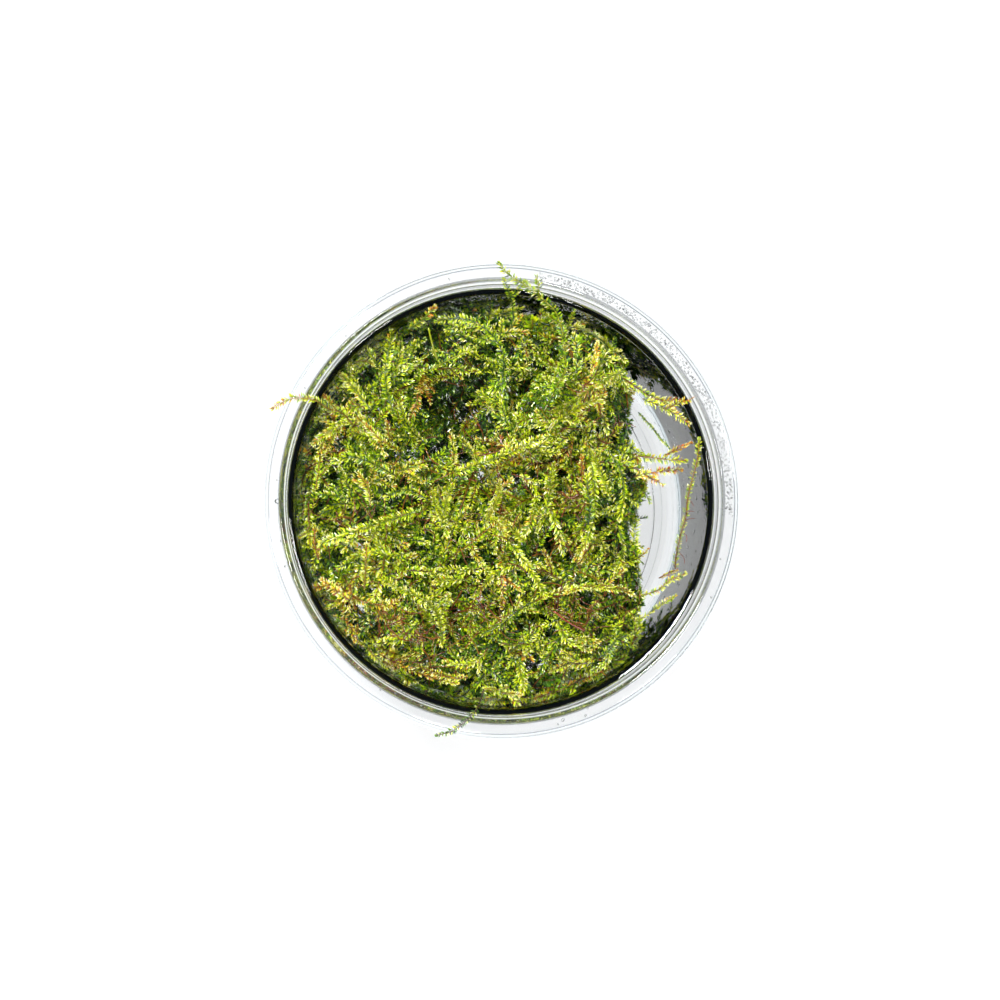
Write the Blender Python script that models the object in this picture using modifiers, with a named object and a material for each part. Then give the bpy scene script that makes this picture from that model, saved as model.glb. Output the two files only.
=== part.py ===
"""Moss clump in a clear cup.

A loose clump of leafy moss shoots fills a round, clear, flanged cup. Plan
coordinates below are in millimetres from the cup's axis (+X right, +Y away),
heights in millimetres above the surface that the cup stands on. Every piece is
its own object: the cup, the interwoven mat of moss that fills it, and the
long shoots that lie over the mat, bridge the gap at the +X side or hang over
the rim.
"""

import math

import bmesh
import bpy
import numpy as np

MM = 0.001

# ---- driving dimensions, millimetres -------------------------------------
RIM_DIAMETER = 80.0  # over the flange
CUP_HEIGHT = 45.0  # to the top of the flange
WALL = 0.8
LEDGE_Z = 40.6  # top of the lid ledge, just inside the flange
MOUTH_RADIUS = 36.0  # inside, above the ledge
WALL_TOP_RADIUS = 34.9  # inside, under the ledge
WALL_FOOT_RADIUS = 33.1  # inside, where the corner curve begins
CORNER_Z = 6.0  # height where the corner curve ends
FLOOR_Z = 1.8  # inside floor
FOOT_RADIUS = 30.6  # middle of the foot ring
FOOT_HALF = 0.6  # half its width
OUTER_FOOT_RADIUS = 34.6  # outside, where the corner curve begins: thicker below
UNDERSIDE_Z = 1.0  # the base is raised this far inside the foot ring
CUP_STEPS = 64
MAT_SEGMENTS = 56
MAT_RINGS = 24

SHOOT_R = 0.9  # half the width of a leafy shoot
THIN_R = 0.55  # half the width of a sparse shoot
BARE_R = 0.35  # half the width of a bare stem
GAP = 0.45  # air kept between any two pieces
MAT_CLEARANCE = 0.8  # mat to wall
MAT_LEVEL = 39.2  # usual height of the moss
MAT_BANK = 23.4  # how far the mat reaches on the open +X side

# ---- scene ----------------------------------------------------------------
for old in list(bpy.data.objects):
    bpy.data.objects.remove(old, do_unlink=True)

parts = bpy.data.collections.new("moss_clump")
bpy.context.scene.collection.children.link(parts)


def material(name, colour, roughness, metallic=0.0, transmission=0.0, ior=1.45):
    mat = bpy.data.materials.new(name)
    mat.use_nodes = True
    shader = mat.node_tree.nodes["Principled BSDF"]
    shader.inputs["Base Color"].default_value = (*colour, 1.0)
    shader.inputs["Roughness"].default_value = roughness
    shader.inputs["Metallic"].default_value = metallic
    shader.inputs["Transmission Weight"].default_value = transmission
    shader.inputs["IOR"].default_value = ior
    return mat


CLEAR = ("clear_plastic", (0.93, 0.97, 0.98), 0.04, 0.0, 1.0, 1.5)
GREEN = ("moss_green", (0.16, 0.30, 0.03), 0.45)
YELLOW = ("moss_yellow_green", (0.42, 0.48, 0.04), 0.42)
OLIVE = ("moss_olive_brown", (0.36, 0.24, 0.05), 0.5)
RED = ("stem_red_brown", (0.42, 0.10, 0.03), 0.4)


# ---- the cup: one turned profile -------------------------------------------
def cup_profile():
    """(radius, height) down the outside from the flange's top inner edge, under
    the base and back up the inside, so that the faces point out."""
    top = CUP_HEIGHT
    outer = WALL_TOP_RADIUS + WALL
    rim = RIM_DIAMETER / 2
    flange_under = top - 0.9
    outside = [
        (37.1, top),
        (38.7, top),
        (39.5, top - 0.35),
        (39.93, top - 1.0),
        (rim, top - 1.9),
        (rim, top - 2.7),
        (39.25, top - 2.7),
        (39.1, top - 1.5),
        (38.5, flange_under),
        (37.6, flange_under),
        (MOUTH_RADIUS + WALL, flange_under - 0.8),
        (MOUTH_RADIUS + WALL - 0.1, LEDGE_Z - 0.6),
        (outer + 0.1, LEDGE_Z - WALL - 0.5),
        (outer, LEDGE_Z - 2.6),
        (OUTER_FOOT_RADIUS, CORNER_Z),
    ]
    # lower corner: steep under the wall, then a flatter shoulder to the foot
    corner = [(34.3, 4.4), (33.7, 2.9), (33.0, 1.5), (32.2, 0.85), (31.5, 0.35)]
    foot, heel = FOOT_RADIUS + FOOT_HALF, FOOT_RADIUS - FOOT_HALF
    base = [(foot, 0.0), (heel, 0.0), (heel - 1.0, UNDERSIDE_Z), (0.0, UNDERSIDE_Z)]
    floor = [(0.0, FLOOR_Z), (29.0, FLOOR_Z), (29.7, 1.15), (30.8, 1.15)]
    inner_corner = []
    for k in range(1, 4):
        a = (1 - k / 4) * math.pi / 2
        inner_corner.append(
            (
                30.8 + (WALL_FOOT_RADIUS - 30.8) * math.cos(a),
                CORNER_Z - (CORNER_Z - 1.15) * math.sin(a),
            )
        )
    inside = [
        (WALL_FOOT_RADIUS, CORNER_Z),
        (WALL_TOP_RADIUS, LEDGE_Z - 0.5),
        (WALL_TOP_RADIUS + 0.5, LEDGE_Z - 0.1),
        (MOUTH_RADIUS - 0.2, LEDGE_Z),
        (MOUTH_RADIUS, LEDGE_Z + 0.3),
        (MOUTH_RADIUS + 0.15, top - 1.3),
        (36.45, top - 0.45),
    ]
    return outside + corner + base + floor + inner_corner + inside


def make_cup():
    mesh = bpy.data.meshes.new("cup")
    bm = bmesh.new()
    points = cup_profile()
    verts = [bm.verts.new((r * MM, 0, z * MM)) for r, z in points]
    for a, b in zip(verts, verts[1:]):
        # the floor's two axis points stay apart, so that the turn closes there
        if a.co.x == 0 and b.co.x == 0:
            continue
        bm.edges.new((a, b))
    bm.edges.new((verts[-1], verts[0]))
    bm.to_mesh(mesh)
    bm.free()
    cup = bpy.data.objects.new("cup", mesh)
    parts.objects.link(cup)
    turn = cup.modifiers.new("turn", "SCREW")
    turn.axis = "Z"
    turn.angle = 2 * math.pi
    turn.steps = CUP_STEPS
    turn.render_steps = CUP_STEPS
    turn.use_merge_vertices = True
    turn.merge_threshold = 0.00001
    turn.use_smooth_shade = True
    mesh.materials.append(material(*CLEAR))
    return cup


# ---- the mat ----------------------------------------------------------------
def bump(x, y, cx, cy, sx, sy, turn=0.0):
    """A smooth hill of height 1 at (cx, cy), wider along its turned x."""
    c, s = math.cos(math.radians(turn)), math.sin(math.radians(turn))
    u, v = (x - cx) * c + (y - cy) * s, -(x - cx) * s + (y - cy) * c
    return np.exp(-((u / sx) ** 2 + (v / sy) ** 2))


# (height, centre x, centre y, half length, half width, direction in degrees)
HILLS = [
    (4.6, 7.0, 11.5, 17.0, 4.6, 40.0),  # the ridge across the middle
    (3.6, 5.0, -4.0, 11.0, 8.0, 0.0),  # south of it
    (2.4, -20.0, -9.0, 8.0, 9.0, 90.0),
    (1.8, -19.0, 18.0, 5.0, 9.0, 0.0),
    (2.0, 13.0, 20.0, 6.0, 8.0, 60.0),
    (1.5, 12.0, -18.0, 9.0, 6.0, 10.0),
    (-9.0, -5.0, 15.0, 6.0, 7.0, 100.0),  # the dark hollow
    (-6.5, 6.8, 22.0, 3.0, 3.6, 0.0),
    (-5.0, -13.0, 24.5, 3.0, 3.0, 0.0),
    (-5.5, 9.6, -8.6, 2.4, 2.4, 0.0),
    (-4.5, -8.6, -19.4, 2.2, 2.4, 0.0),
    (-4.5, 5.4, -19.2, 2.6, 1.9, 0.0),
    (-4.0, -27.5, -11.5, 3.4, 2.6, 0.0),
    (-4.0, -28.0, -3.0, 3.0, 2.6, 0.0),
    (-3.5, -27.0, 3.2, 2.6, 2.4, 0.0),
]


def mat_edge(angle):
    """The mat's radius towards this direction. It fills the cup to the wall but
    for a bank on the +X side, where the cup's floor shows."""
    lump = 0.16 * np.sin(7 * angle + 1.0) + 0.14 * np.sin(13 * angle)
    north = np.exp(-(((np.degrees(angle) - 78.0) / 30.0) ** 2))
    wide = WALL_TOP_RADIUS - MAT_CLEARANCE - 0.35 + lump - 1.5 * north
    bank = MAT_BANK + 1.0 * np.sin(6 * angle + 0.4) + 0.5 * np.sin(11 * angle)
    chord = bank / np.maximum(np.cos(angle - 0.05), 0.2)
    return (wide**-14.0 + chord**-14.0) ** (-1 / 14.0)


def mat_top(x, y):
    x, y = np.asarray(x, float), np.asarray(y, float)
    r, angle = np.hypot(x, y), np.arctan2(y, x)
    z = np.full(np.broadcast(x, y).shape, MAT_LEVEL)
    for h, cx, cy, sx, sy, turn in HILLS:
        z = z + h * bump(x, y, cx, cy, sx, sy, turn)
    z = z + 0.5 * np.sin(0.62 * x + 0.4) * np.sin(0.57 * y + 1.1)
    z = z + 0.35 * np.sin(0.9 * x - 0.5 * y) * np.sin(0.8 * y + 0.3 * x)
    share = np.clip(r / mat_edge(angle), 0.0, 1.0)
    return z - 4.5 * share**7


def make_mat():
    """A round primitive drawn out to the cup's inside: a flat underside, an
    upright flank that follows mat_edge, and the hills and hollows on top."""
    mesh = bpy.data.meshes.new("moss_mat")
    bm = bmesh.new()
    bmesh.ops.create_uvsphere(
        bm, u_segments=MAT_SEGMENTS, v_segments=MAT_RINGS, radius=1.0
    )
    bottom = FLOOR_Z + GAP
    shoulder = bottom + 4.6
    for v in bm.verts:
        angle = math.atan2(v.co.y, v.co.x)
        polar = math.atan2(v.co.z, math.hypot(v.co.x, v.co.y))
        ring = round((polar / math.pi + 0.5) * MAT_RINGS)  # 0 at the foot's middle
        edge = float(mat_edge(angle))
        if ring <= 2:  # underside
            share, z = (0.0, 0.55, 0.90)[ring], bottom
        elif ring <= 6:  # flank, leaning in towards the foot as the cup does
            up = (ring - 3) / 3
            share = 0.952 + 0.048 * up
            top = float(mat_top(edge * math.cos(angle), edge * math.sin(angle)))
            z = shoulder + (top - shoulder) * up
        else:
            share, z = (MAT_RINGS - ring) / (MAT_RINGS - 6), None
        x, y = edge * share * math.cos(angle), edge * share * math.sin(angle)
        v.co = (x * MM, y * MM, (float(mat_top(x, y)) if z is None else z) * MM)
    bmesh.ops.recalc_face_normals(bm, faces=bm.faces)
    bm.to_mesh(mesh)
    bm.free()
    mesh.shade_smooth()
    mat = bpy.data.objects.new("moss_mat", mesh)
    parts.objects.link(mat)
    mesh.materials.append(material(*GREEN))
    return mat


# ---- the shoots -------------------------------------------------------------
# name, material, radius, plan points, and heights where the shoot is held above
# what lies under it (None where it simply rests on it)
SHOOTS = [
    # resting low on the mat
    ("shoot_wall_west", YELLOW, THIN_R, [(-30.2, 8.2), (-30.7, 5.0), (-31.2, 1.8), (-31.6, -1.0)], None),
    ("shoot_wall_southwest", OLIVE, THIN_R, [(-31.4, -4.0), (-31.2, -7.5), (-30.6, -9.8)], None),
    ("shoot_green_west", GREEN, SHOOT_R, [(-28.2, 6.6), (-25.3, 7.3), (-22.2, 6.5), (-17.8, 4.2)], None),
    ("shoot_fan_west", YELLOW, SHOOT_R, [(-26.7, 21.2), (-24.7, 18.7), (-22.0, 15.3)], None),
    ("shoot_column_west", YELLOW, SHOOT_R, [(-18.6, 28.4), (-18.8, 26.0), (-19.4, 22.8), (-19.4, 19.0), (-18.3, 15.2)], None),
    ("shoot_arch_north", GREEN, SHOOT_R, [(-10.8, 30.6), (-7.0, 31.0), (-3.5, 29.7), (-0.9, 27.2), (0.4, 24.0), (0.2, 20.8)], None),
    ("shoot_tip_northwest", OLIVE, SHOOT_R, [(-11.4, 32.4), (-13.4, 30.4), (-15.6, 29.0)], None),
    ("shoot_rail_north", GREEN, THIN_R, [(-14.6, 21.2), (-11.8, 22.3), (-7.8, 24.3), (-4.3, 26.0)], None),
    ("stem_bare_north", GREEN, BARE_R, [(-12.3, 28.9), (-11.5, 26.0), (-10.8, 24.0)], None),
    ("shoot_fan_middle", GREEN, SHOOT_R, [(-3.6, 18.6), (-1.6, 17.6), (1.4, 17.2)], None),
    ("shoot_green_middle", GREEN, SHOOT_R, [(-1.2, 14.6), (0.6, 13.0), (2.4, 11.6)], None),
    ("shoot_zebra_northeast", GREEN, SHOOT_R, [(12.2, 28.0), (12.7, 24.8), (12.4, 21.4)], None),
    ("shoot_amber_northeast", OLIVE, THIN_R, [(16.2, 26.7), (15.6, 24.0), (14.9, 20.8)], None),
    ("shoot_pale_northeast", YELLOW, SHOOT_R, [(15.8, 19.2), (18.0, 20.8), (20.2, 21.6)], None),
    ("shoot_bow_west", GREEN, SHOOT_R, [(-19.4, 0.6), (-16.8, 1.8), (-14.6, 1.4), (-12.4, 0.0)], None),
    ("shoot_amber_column_upper", OLIVE, SHOOT_R, [(-24.0, 4.6), (-22.4, 2.3), (-22.0, -1.0)], None),
    ("shoot_amber_column_lower", YELLOW, SHOOT_R, [(-22.6, -7.6), (-22.8, -11.0), (-23.0, -14.6)], None),
    ("shoot_bright_west", YELLOW, 1.1, [(-30.2, -7.0), (-27.0, -6.0), (-23.0, -4.7), (-18.6, -3.2), (-14.4, -1.9)], None),
    ("shoot_sickle_middle", YELLOW, SHOOT_R, [(-8.4, 2.4), (-9.4, 0.2), (-9.8, -2.4), (-10.4, -5.0)], None),
    ("shoot_ridge_lower", YELLOW, 1.1, [(6.3, 10.4), (2.8, 8.7), (-0.5, 7.2), (-4.4, 5.8), (-8.0, 4.6)], None),
    ("shoot_ridge_upper", YELLOW, 1.1, [(16.6, 17.4), (13.4, 16.0), (10.6, 14.2), (8.2, 12.0)], None),
    ("shoot_gold_middle", YELLOW, SHOOT_R, [(-0.6, 3.0), (-0.8, 0.6), (-1.9, -1.8), (-3.0, -3.8)], None),
    ("shoot_gold_fork", YELLOW, SHOOT_R, [(-0.2, -3.2), (1.6, -5.0), (3.8, -7.0)], None),
    ("shoot_column_middle", YELLOW, SHOOT_R, [(8.7, 5.2), (8.5, 2.6), (7.4, -0.4), (7.0, -2.6)], None),
    ("shoot_column_east", GREEN, SHOOT_R, [(14.2, 4.2), (14.4, 1.6), (14.8, -1.2), (14.4, -4.0)], None),
    ("shoot_pale_east", YELLOW, SHOOT_R, [(14.3, 9.4), (15.8, 6.6), (17.4, 3.2), (18.6, 0.0)], None),
    ("stem_pink_arc", RED, BARE_R, [(9.9, 1.4), (11.2, 0.4), (12.8, 1.0)], None),
    ("shoot_elbow_southwest", YELLOW, SHOOT_R, [(-20.6, -12.8), (-17.4, -14.6), (-13.6, -16.2), (-11.2, -18.2), (-10.1, -21.0), (-10.0, -23.6)], None),
    ("shoot_ridge_southwest", YELLOW, SHOOT_R, [(-11.2, -13.6), (-9.0, -13.2), (-6.4, -13.2)], None),
    ("shoot_orange_southwest", OLIVE, SHOOT_R, [(-30.0, -13.2), (-28.0, -14.8), (-25.6, -16.6)], None),
    ("shoot_diagonal_south", GREEN, SHOOT_R, [(-3.2, -22.3), (-0.2, -20.7), (2.5, -18.5), (5.5, -16.7)], None),
    ("shoot_gold_arc_southeast", YELLOW, THIN_R, [(10.6, -15.4), (13.8, -14.3), (17.6, -14.2), (21.2, -14.8)], None),
    ("stem_red_southeast", RED, BARE_R, [(8.8, -18.5), (11.0, -20.2), (13.8, -21.7)], None),
    ("shoot_green_southeast", GREEN, SHOOT_R, [(20.0, -22.4), (18.4, -24.6), (16.6, -26.2)], None),
    ("shoot_tuft_southeast", OLIVE, SHOOT_R, [(9.8, -26.4), (12.2, -27.2), (14.4, -27.2)], None),
    ("shoot_yellow_south", YELLOW, SHOOT_R, [(4.0, -31.2), (3.2, -28.8), (2.9, -26.4)], None),
    ("shoot_gold_south", YELLOW, SHOOT_R, [(-2.6, -31.4), (-0.6, -31.6), (1.4, -31.2)], None),
    ("shoot_wall_south", OLIVE, THIN_R, [(-14.0, -27.6), (-11.0, -28.8), (-8.0, -29.6), (-5.6, -29.6)], None),
    ("shoot_yellow_west", YELLOW, SHOOT_R, [(-31.4, 9.6), (-29.3, 11.4), (-26.4, 12.6)], None),
    # spanning the open side of the cup, from the mat to the wall
    ("shoot_bridge_east_upper", OLIVE, SHOOT_R, [(20.1, 20.4), (22.8, 18.8), (26.2, 17.1), (29.1, 17.1)], [41.2, 41.4, 41.2, 40.8]),
    ("shoot_bridge_east_lower", YELLOW, SHOOT_R, [(23.4, 17.0), (26.3, 15.9), (29.4, 14.5), (31.4, 13.2)], [40.2, 40.6, 41.0, 42.0]),
    ("shoot_arm_east_lower", OLIVE, SHOOT_R, [(22.7, 4.3), (25.4, 5.0), (28.2, 5.4), (30.6, 5.6)], [36.6, 36.8, 37.0, 36.8]),
    ("shoot_arm_east_upper", YELLOW, SHOOT_R, [(22.9, 7.8), (24.7, 7.6), (27.9, 7.2), (31.2, 7.0)], [38.6, 39.0, 39.6, 39.2]),
    ("shoot_hanging_east", YELLOW, THIN_R, [(33.3, 10.5), (32.9, 6.4), (32.1, 2.6), (31.7, -0.1), (31.6, -2.6), (30.9, -5.1), (30.2, -8.9), (30.1, -11.0)], [41.6, 39.6, 38.0, 37.0, 36.0, 35.0, 33.6, 32.8]),
    ("shoot_twig_southeast", YELLOW, THIN_R, [(23.4, -15.9), (26.5, -14.9), (28.0, -13.5), (29.7, -12.7), (31.1, -12.1)], [39.6, 39.4, 39.2, 39.2, 39.2]),
    ("shoot_needle_southeast", YELLOW, THIN_R, [(22.5, -20.2), (24.5, -19.2), (27.0, -17.4), (29.4, -15.8)], [38.6, 38.8, 39.4, 39.6]),
    # hanging over the rim
    ("shoot_over_rim_north", OLIVE, 1.0, [(-0.7, 39.3), (1.1, 37.3), (3.7, 35.7), (6.6, 33.5), (8.8, 31.4), (9.9, 28.3), (10.3, 24.5), (10.5, 21.9), (9.0, 19.0), (6.8, 14.7)], [46.3, 46.6, 46.6, 46.2, 45.6, 44.8, 44.0, 43.6, 43.6, 43.6]),
    ("shoot_over_rim_north_fork", GREEN, THIN_R, [(-0.1, 36.6), (0.9, 34.6), (1.4, 32.9), (1.8, 30.3)], [46.0, 44.6, 42.0, 39.6]),
    ("shoot_over_rim_west", OLIVE, SHOOT_R, [(-38.3, 15.0), (-36.1, 16.4), (-34.0, 16.8), (-31.3, 16.4), (-29.2, 15.1), (-27.0, 14.6), (-25.1, 12.8)], [45.9, 46.5, 46.5, 45.6, 44.2, 43.0, 42.0]),
    ("shoot_over_rim_south", OLIVE, THIN_R, [(-3.2, -31.6), (-4.1, -34.3), (-4.9, -35.3), (-6.4, -36.9), (-8.5, -38.4), (-11.0, -39.1)], [42.6, 44.6, 45.6, 46.0, 45.8, 44.6]),
]


def smooth_line(points, step=0.8):
    """Points every step along a smooth curve through the given ones."""
    p = np.array(points, float)
    ends = np.vstack([2 * p[0] - p[1], p, 2 * p[-1] - p[-2]])
    out = []
    for i in range(1, len(ends) - 2):
        a, b, c, d = ends[i - 1 : i + 3]
        n = max(2, int(np.linalg.norm((c - b)[:2]) / step) + 1)
        for t in np.linspace(0, 1, n, endpoint=False):
            out.append(
                0.5
                * (
                    2 * b
                    + (c - a) * t
                    + (2 * a - 5 * b + 4 * c - d) * t * t
                    + (3 * b - a - 3 * c + d) * t**3
                )
            )
    out.append(p[-1])
    return np.array(out)


def cup_under(r, clear):
    """The height that a shoot's middle needs to clear the cup at radius r."""
    z = np.full(r.shape, -1e3)
    z = np.where(r > WALL_TOP_RADIUS - clear, LEDGE_Z + clear, z)
    z = np.where(r > MOUTH_RADIUS - clear, CUP_HEIGHT + clear, z)
    return np.where(r > RIM_DIAMETER / 2 + clear, -1e3, z)


def lay(shoots):
    """Lays the shoots one after another on the mat and on those already laid,
    GAP clear of everything, and gives each one's line."""
    laid = []
    for name, look, radius, plan, heights in shoots:
        given = [(x, y, 0.0) for x, y in plan]
        if heights:
            given = [(x, y, z) for (x, y), z in zip(plan, heights)]
        line = smooth_line(given)
        xy = line[:, :2]
        need = np.full(len(xy), -1e3)
        for dx in (-1, 0, 1):
            for dy in (-1, 0, 1):
                at = xy + radius * np.array([dx, dy])
                inside = np.hypot(*at.T) < mat_edge(np.arctan2(at[:, 1], at[:, 0])) + 0.4
                high = mat_top(at[:, 0], at[:, 1]) + radius + GAP + 0.35
                need = np.maximum(need, np.where(inside, high, -1e3))
        need = np.maximum(need, cup_under(np.hypot(*xy.T), radius + GAP))
        for other, r2 in laid:
            reach = radius + r2 + GAP + 0.2
            d = np.linalg.norm(xy[:, None] - other[None, :, :2], axis=2)
            over = np.sqrt(np.maximum(reach**2 - d**2, 0)) + other[None, :, 2]
            over = np.where(d < reach, over, -1e3)
            need = np.maximum(need, over.max(axis=1))
        z = np.maximum(need, line[:, 2]) if heights else need
        # a stem rises and falls no faster than this
        s = np.concatenate([[0], np.cumsum(np.linalg.norm(np.diff(xy, axis=0), axis=1))])
        away = np.abs(s[:, None] - s[None, :])
        z = np.maximum(z, (z[None, :] - 0.62 * away).max(axis=1))
        for _ in range(3):
            soft = np.convolve(np.pad(z, 2, mode="edge"), np.ones(5) / 5, mode="valid")
            z = np.maximum(soft, z)
        line = np.column_stack([xy, z])
        laid.append((line, radius))
    return [line for line, _ in laid]


def thinned(line, radius):
    """The line with the points that its shape doesn't need left out."""
    keep = [0]
    for i in range(1, len(line) - 1):
        a, b = line[keep[-1]], line[i]
        back, ahead = b - a, line[i + 1] - b
        bend = np.dot(back, ahead) / np.linalg.norm(back) / np.linalg.norm(ahead)
        if np.linalg.norm(back) > 2.4 or (bend < 0.97 and np.linalg.norm(back) > 0.9):
            keep.append(i)
    return line[keep + [len(line) - 1]]


def make_shoot(name, look, radius, line, looks):
    curve = bpy.data.curves.new(name, "CURVE")
    curve.dimensions = "3D"
    curve.bevel_depth = radius * MM
    curve.bevel_resolution = 1
    curve.use_fill_caps = True
    spline = curve.splines.new("POLY")
    spline.points.add(len(line) - 1)
    for i, (point, p) in enumerate(zip(spline.points, line)):
        point.co = (*(p * MM), 1.0)
        # a shoot narrows to its growing tip, at the line's first end
        point.radius = min(1.0, 0.55 + 0.3 * i)
    shoot = bpy.data.objects.new(name, curve)
    parts.objects.link(shoot)
    if look[0] not in looks:
        looks[look[0]] = material(*look)
    curve.materials.append(looks[look[0]])
    return shoot


make_cup()
make_mat()
found = {}
lines = lay(SHOOTS)
for (name, look, radius, plan, heights), line in zip(SHOOTS, lines):
    make_shoot(name, look, radius, thinned(line, radius), found)
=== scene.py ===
"""Looks for the moss clump in a clear cup.

Every shoot of the CAD model is grown again here as a real leafy shoot along the
same line, and the CAD mat becomes some thousands of shoots that are laid over
its top, its flank, its underside and, thinly, its inside. Lengths are in
millimetres until a mesh is made.
"""

import math

import bpy
import numpy as np
from mathutils import Matrix


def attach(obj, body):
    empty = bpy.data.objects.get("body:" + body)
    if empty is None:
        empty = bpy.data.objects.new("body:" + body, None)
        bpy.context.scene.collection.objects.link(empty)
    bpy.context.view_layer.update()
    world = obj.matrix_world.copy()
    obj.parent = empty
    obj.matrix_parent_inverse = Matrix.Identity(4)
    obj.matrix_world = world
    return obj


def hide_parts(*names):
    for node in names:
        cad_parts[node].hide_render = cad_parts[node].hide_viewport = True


MM = 0.001

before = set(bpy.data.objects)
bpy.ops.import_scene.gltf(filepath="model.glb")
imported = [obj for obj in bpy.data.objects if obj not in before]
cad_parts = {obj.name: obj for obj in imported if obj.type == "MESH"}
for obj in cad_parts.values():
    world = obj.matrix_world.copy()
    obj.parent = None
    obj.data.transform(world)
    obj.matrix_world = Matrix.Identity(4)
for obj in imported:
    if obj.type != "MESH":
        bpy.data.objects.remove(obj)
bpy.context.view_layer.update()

scene = bpy.context.scene
scene.view_settings.view_transform = "Standard"

# ---- the cup and the mat, with the CAD model's dimensions --------------------
RIM_DIAMETER = 80.0
CUP_HEIGHT = 45.0
WALL = 0.8
LEDGE_Z = 40.6
MOUTH_RADIUS = 36.0
WALL_TOP_RADIUS = 34.9
WALL_FOOT_RADIUS = 33.1
CORNER_Z = 6.0
FLOOR_Z = 1.8
FOOT_RADIUS = 30.6
FOOT_HALF = 0.6
OUTER_FOOT_RADIUS = 34.6
UNDERSIDE_Z = 1.0
GAP = 0.45
MAT_CLEARANCE = 0.8
MAT_LEVEL = 39.2
MAT_BANK = 23.4
SHOOT_R = 0.9
THIN_R = 0.55
BARE_R = 0.35


def bump(x, y, cx, cy, sx, sy, turn=0.0):
    c, s = math.cos(math.radians(turn)), math.sin(math.radians(turn))
    u, v = (x - cx) * c + (y - cy) * s, -(x - cx) * s + (y - cy) * c
    return np.exp(-((u / sx) ** 2 + (v / sy) ** 2))


HILLS = [
    (4.6, 7.0, 11.5, 17.0, 4.6, 40.0),
    (3.6, 5.0, -4.0, 11.0, 8.0, 0.0),
    (2.4, -20.0, -9.0, 8.0, 9.0, 90.0),
    (1.8, -19.0, 18.0, 5.0, 9.0, 0.0),
    (2.0, 13.0, 20.0, 6.0, 8.0, 60.0),
    (1.5, 12.0, -18.0, 9.0, 6.0, 10.0),
    (-9.0, -5.0, 15.0, 6.0, 7.0, 100.0),
    (-6.5, 6.8, 22.0, 3.0, 3.6, 0.0),
    (-5.0, -13.0, 24.5, 3.0, 3.0, 0.0),
    (-5.5, 9.6, -8.6, 2.4, 2.4, 0.0),
    (-4.5, -8.6, -19.4, 2.2, 2.4, 0.0),
    (-4.5, 5.4, -19.2, 2.6, 1.9, 0.0),
    (-4.0, -27.5, -11.5, 3.4, 2.6, 0.0),
    (-4.0, -28.0, -3.0, 3.0, 2.6, 0.0),
    (-3.5, -27.0, 3.2, 2.6, 2.4, 0.0),
]


def mat_edge(angle):
    lump = 0.16 * np.sin(7 * angle + 1.0) + 0.14 * np.sin(13 * angle)
    north = np.exp(-(((np.degrees(angle) - 78.0) / 30.0) ** 2))
    wide = WALL_TOP_RADIUS - MAT_CLEARANCE - 0.35 + lump - 1.5 * north
    bank = MAT_BANK + 1.0 * np.sin(6 * angle + 0.4) + 0.5 * np.sin(11 * angle)
    chord = bank / np.maximum(np.cos(angle - 0.05), 0.2)
    return (wide**-14.0 + chord**-14.0) ** (-1 / 14.0)


def mat_top(x, y):
    x, y = np.asarray(x, float), np.asarray(y, float)
    r, angle = np.hypot(x, y), np.arctan2(y, x)
    z = np.full(np.broadcast(x, y).shape, MAT_LEVEL)
    for h, cx, cy, sx, sy, turn in HILLS:
        z = z + h * bump(x, y, cx, cy, sx, sy, turn)
    z = z + 0.5 * np.sin(0.62 * x + 0.4) * np.sin(0.57 * y + 1.1)
    z = z + 0.35 * np.sin(0.9 * x - 0.5 * y) * np.sin(0.8 * y + 0.3 * x)
    share = np.clip(r / mat_edge(angle), 0.0, 1.0)
    return z - 4.5 * share**7


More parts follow.
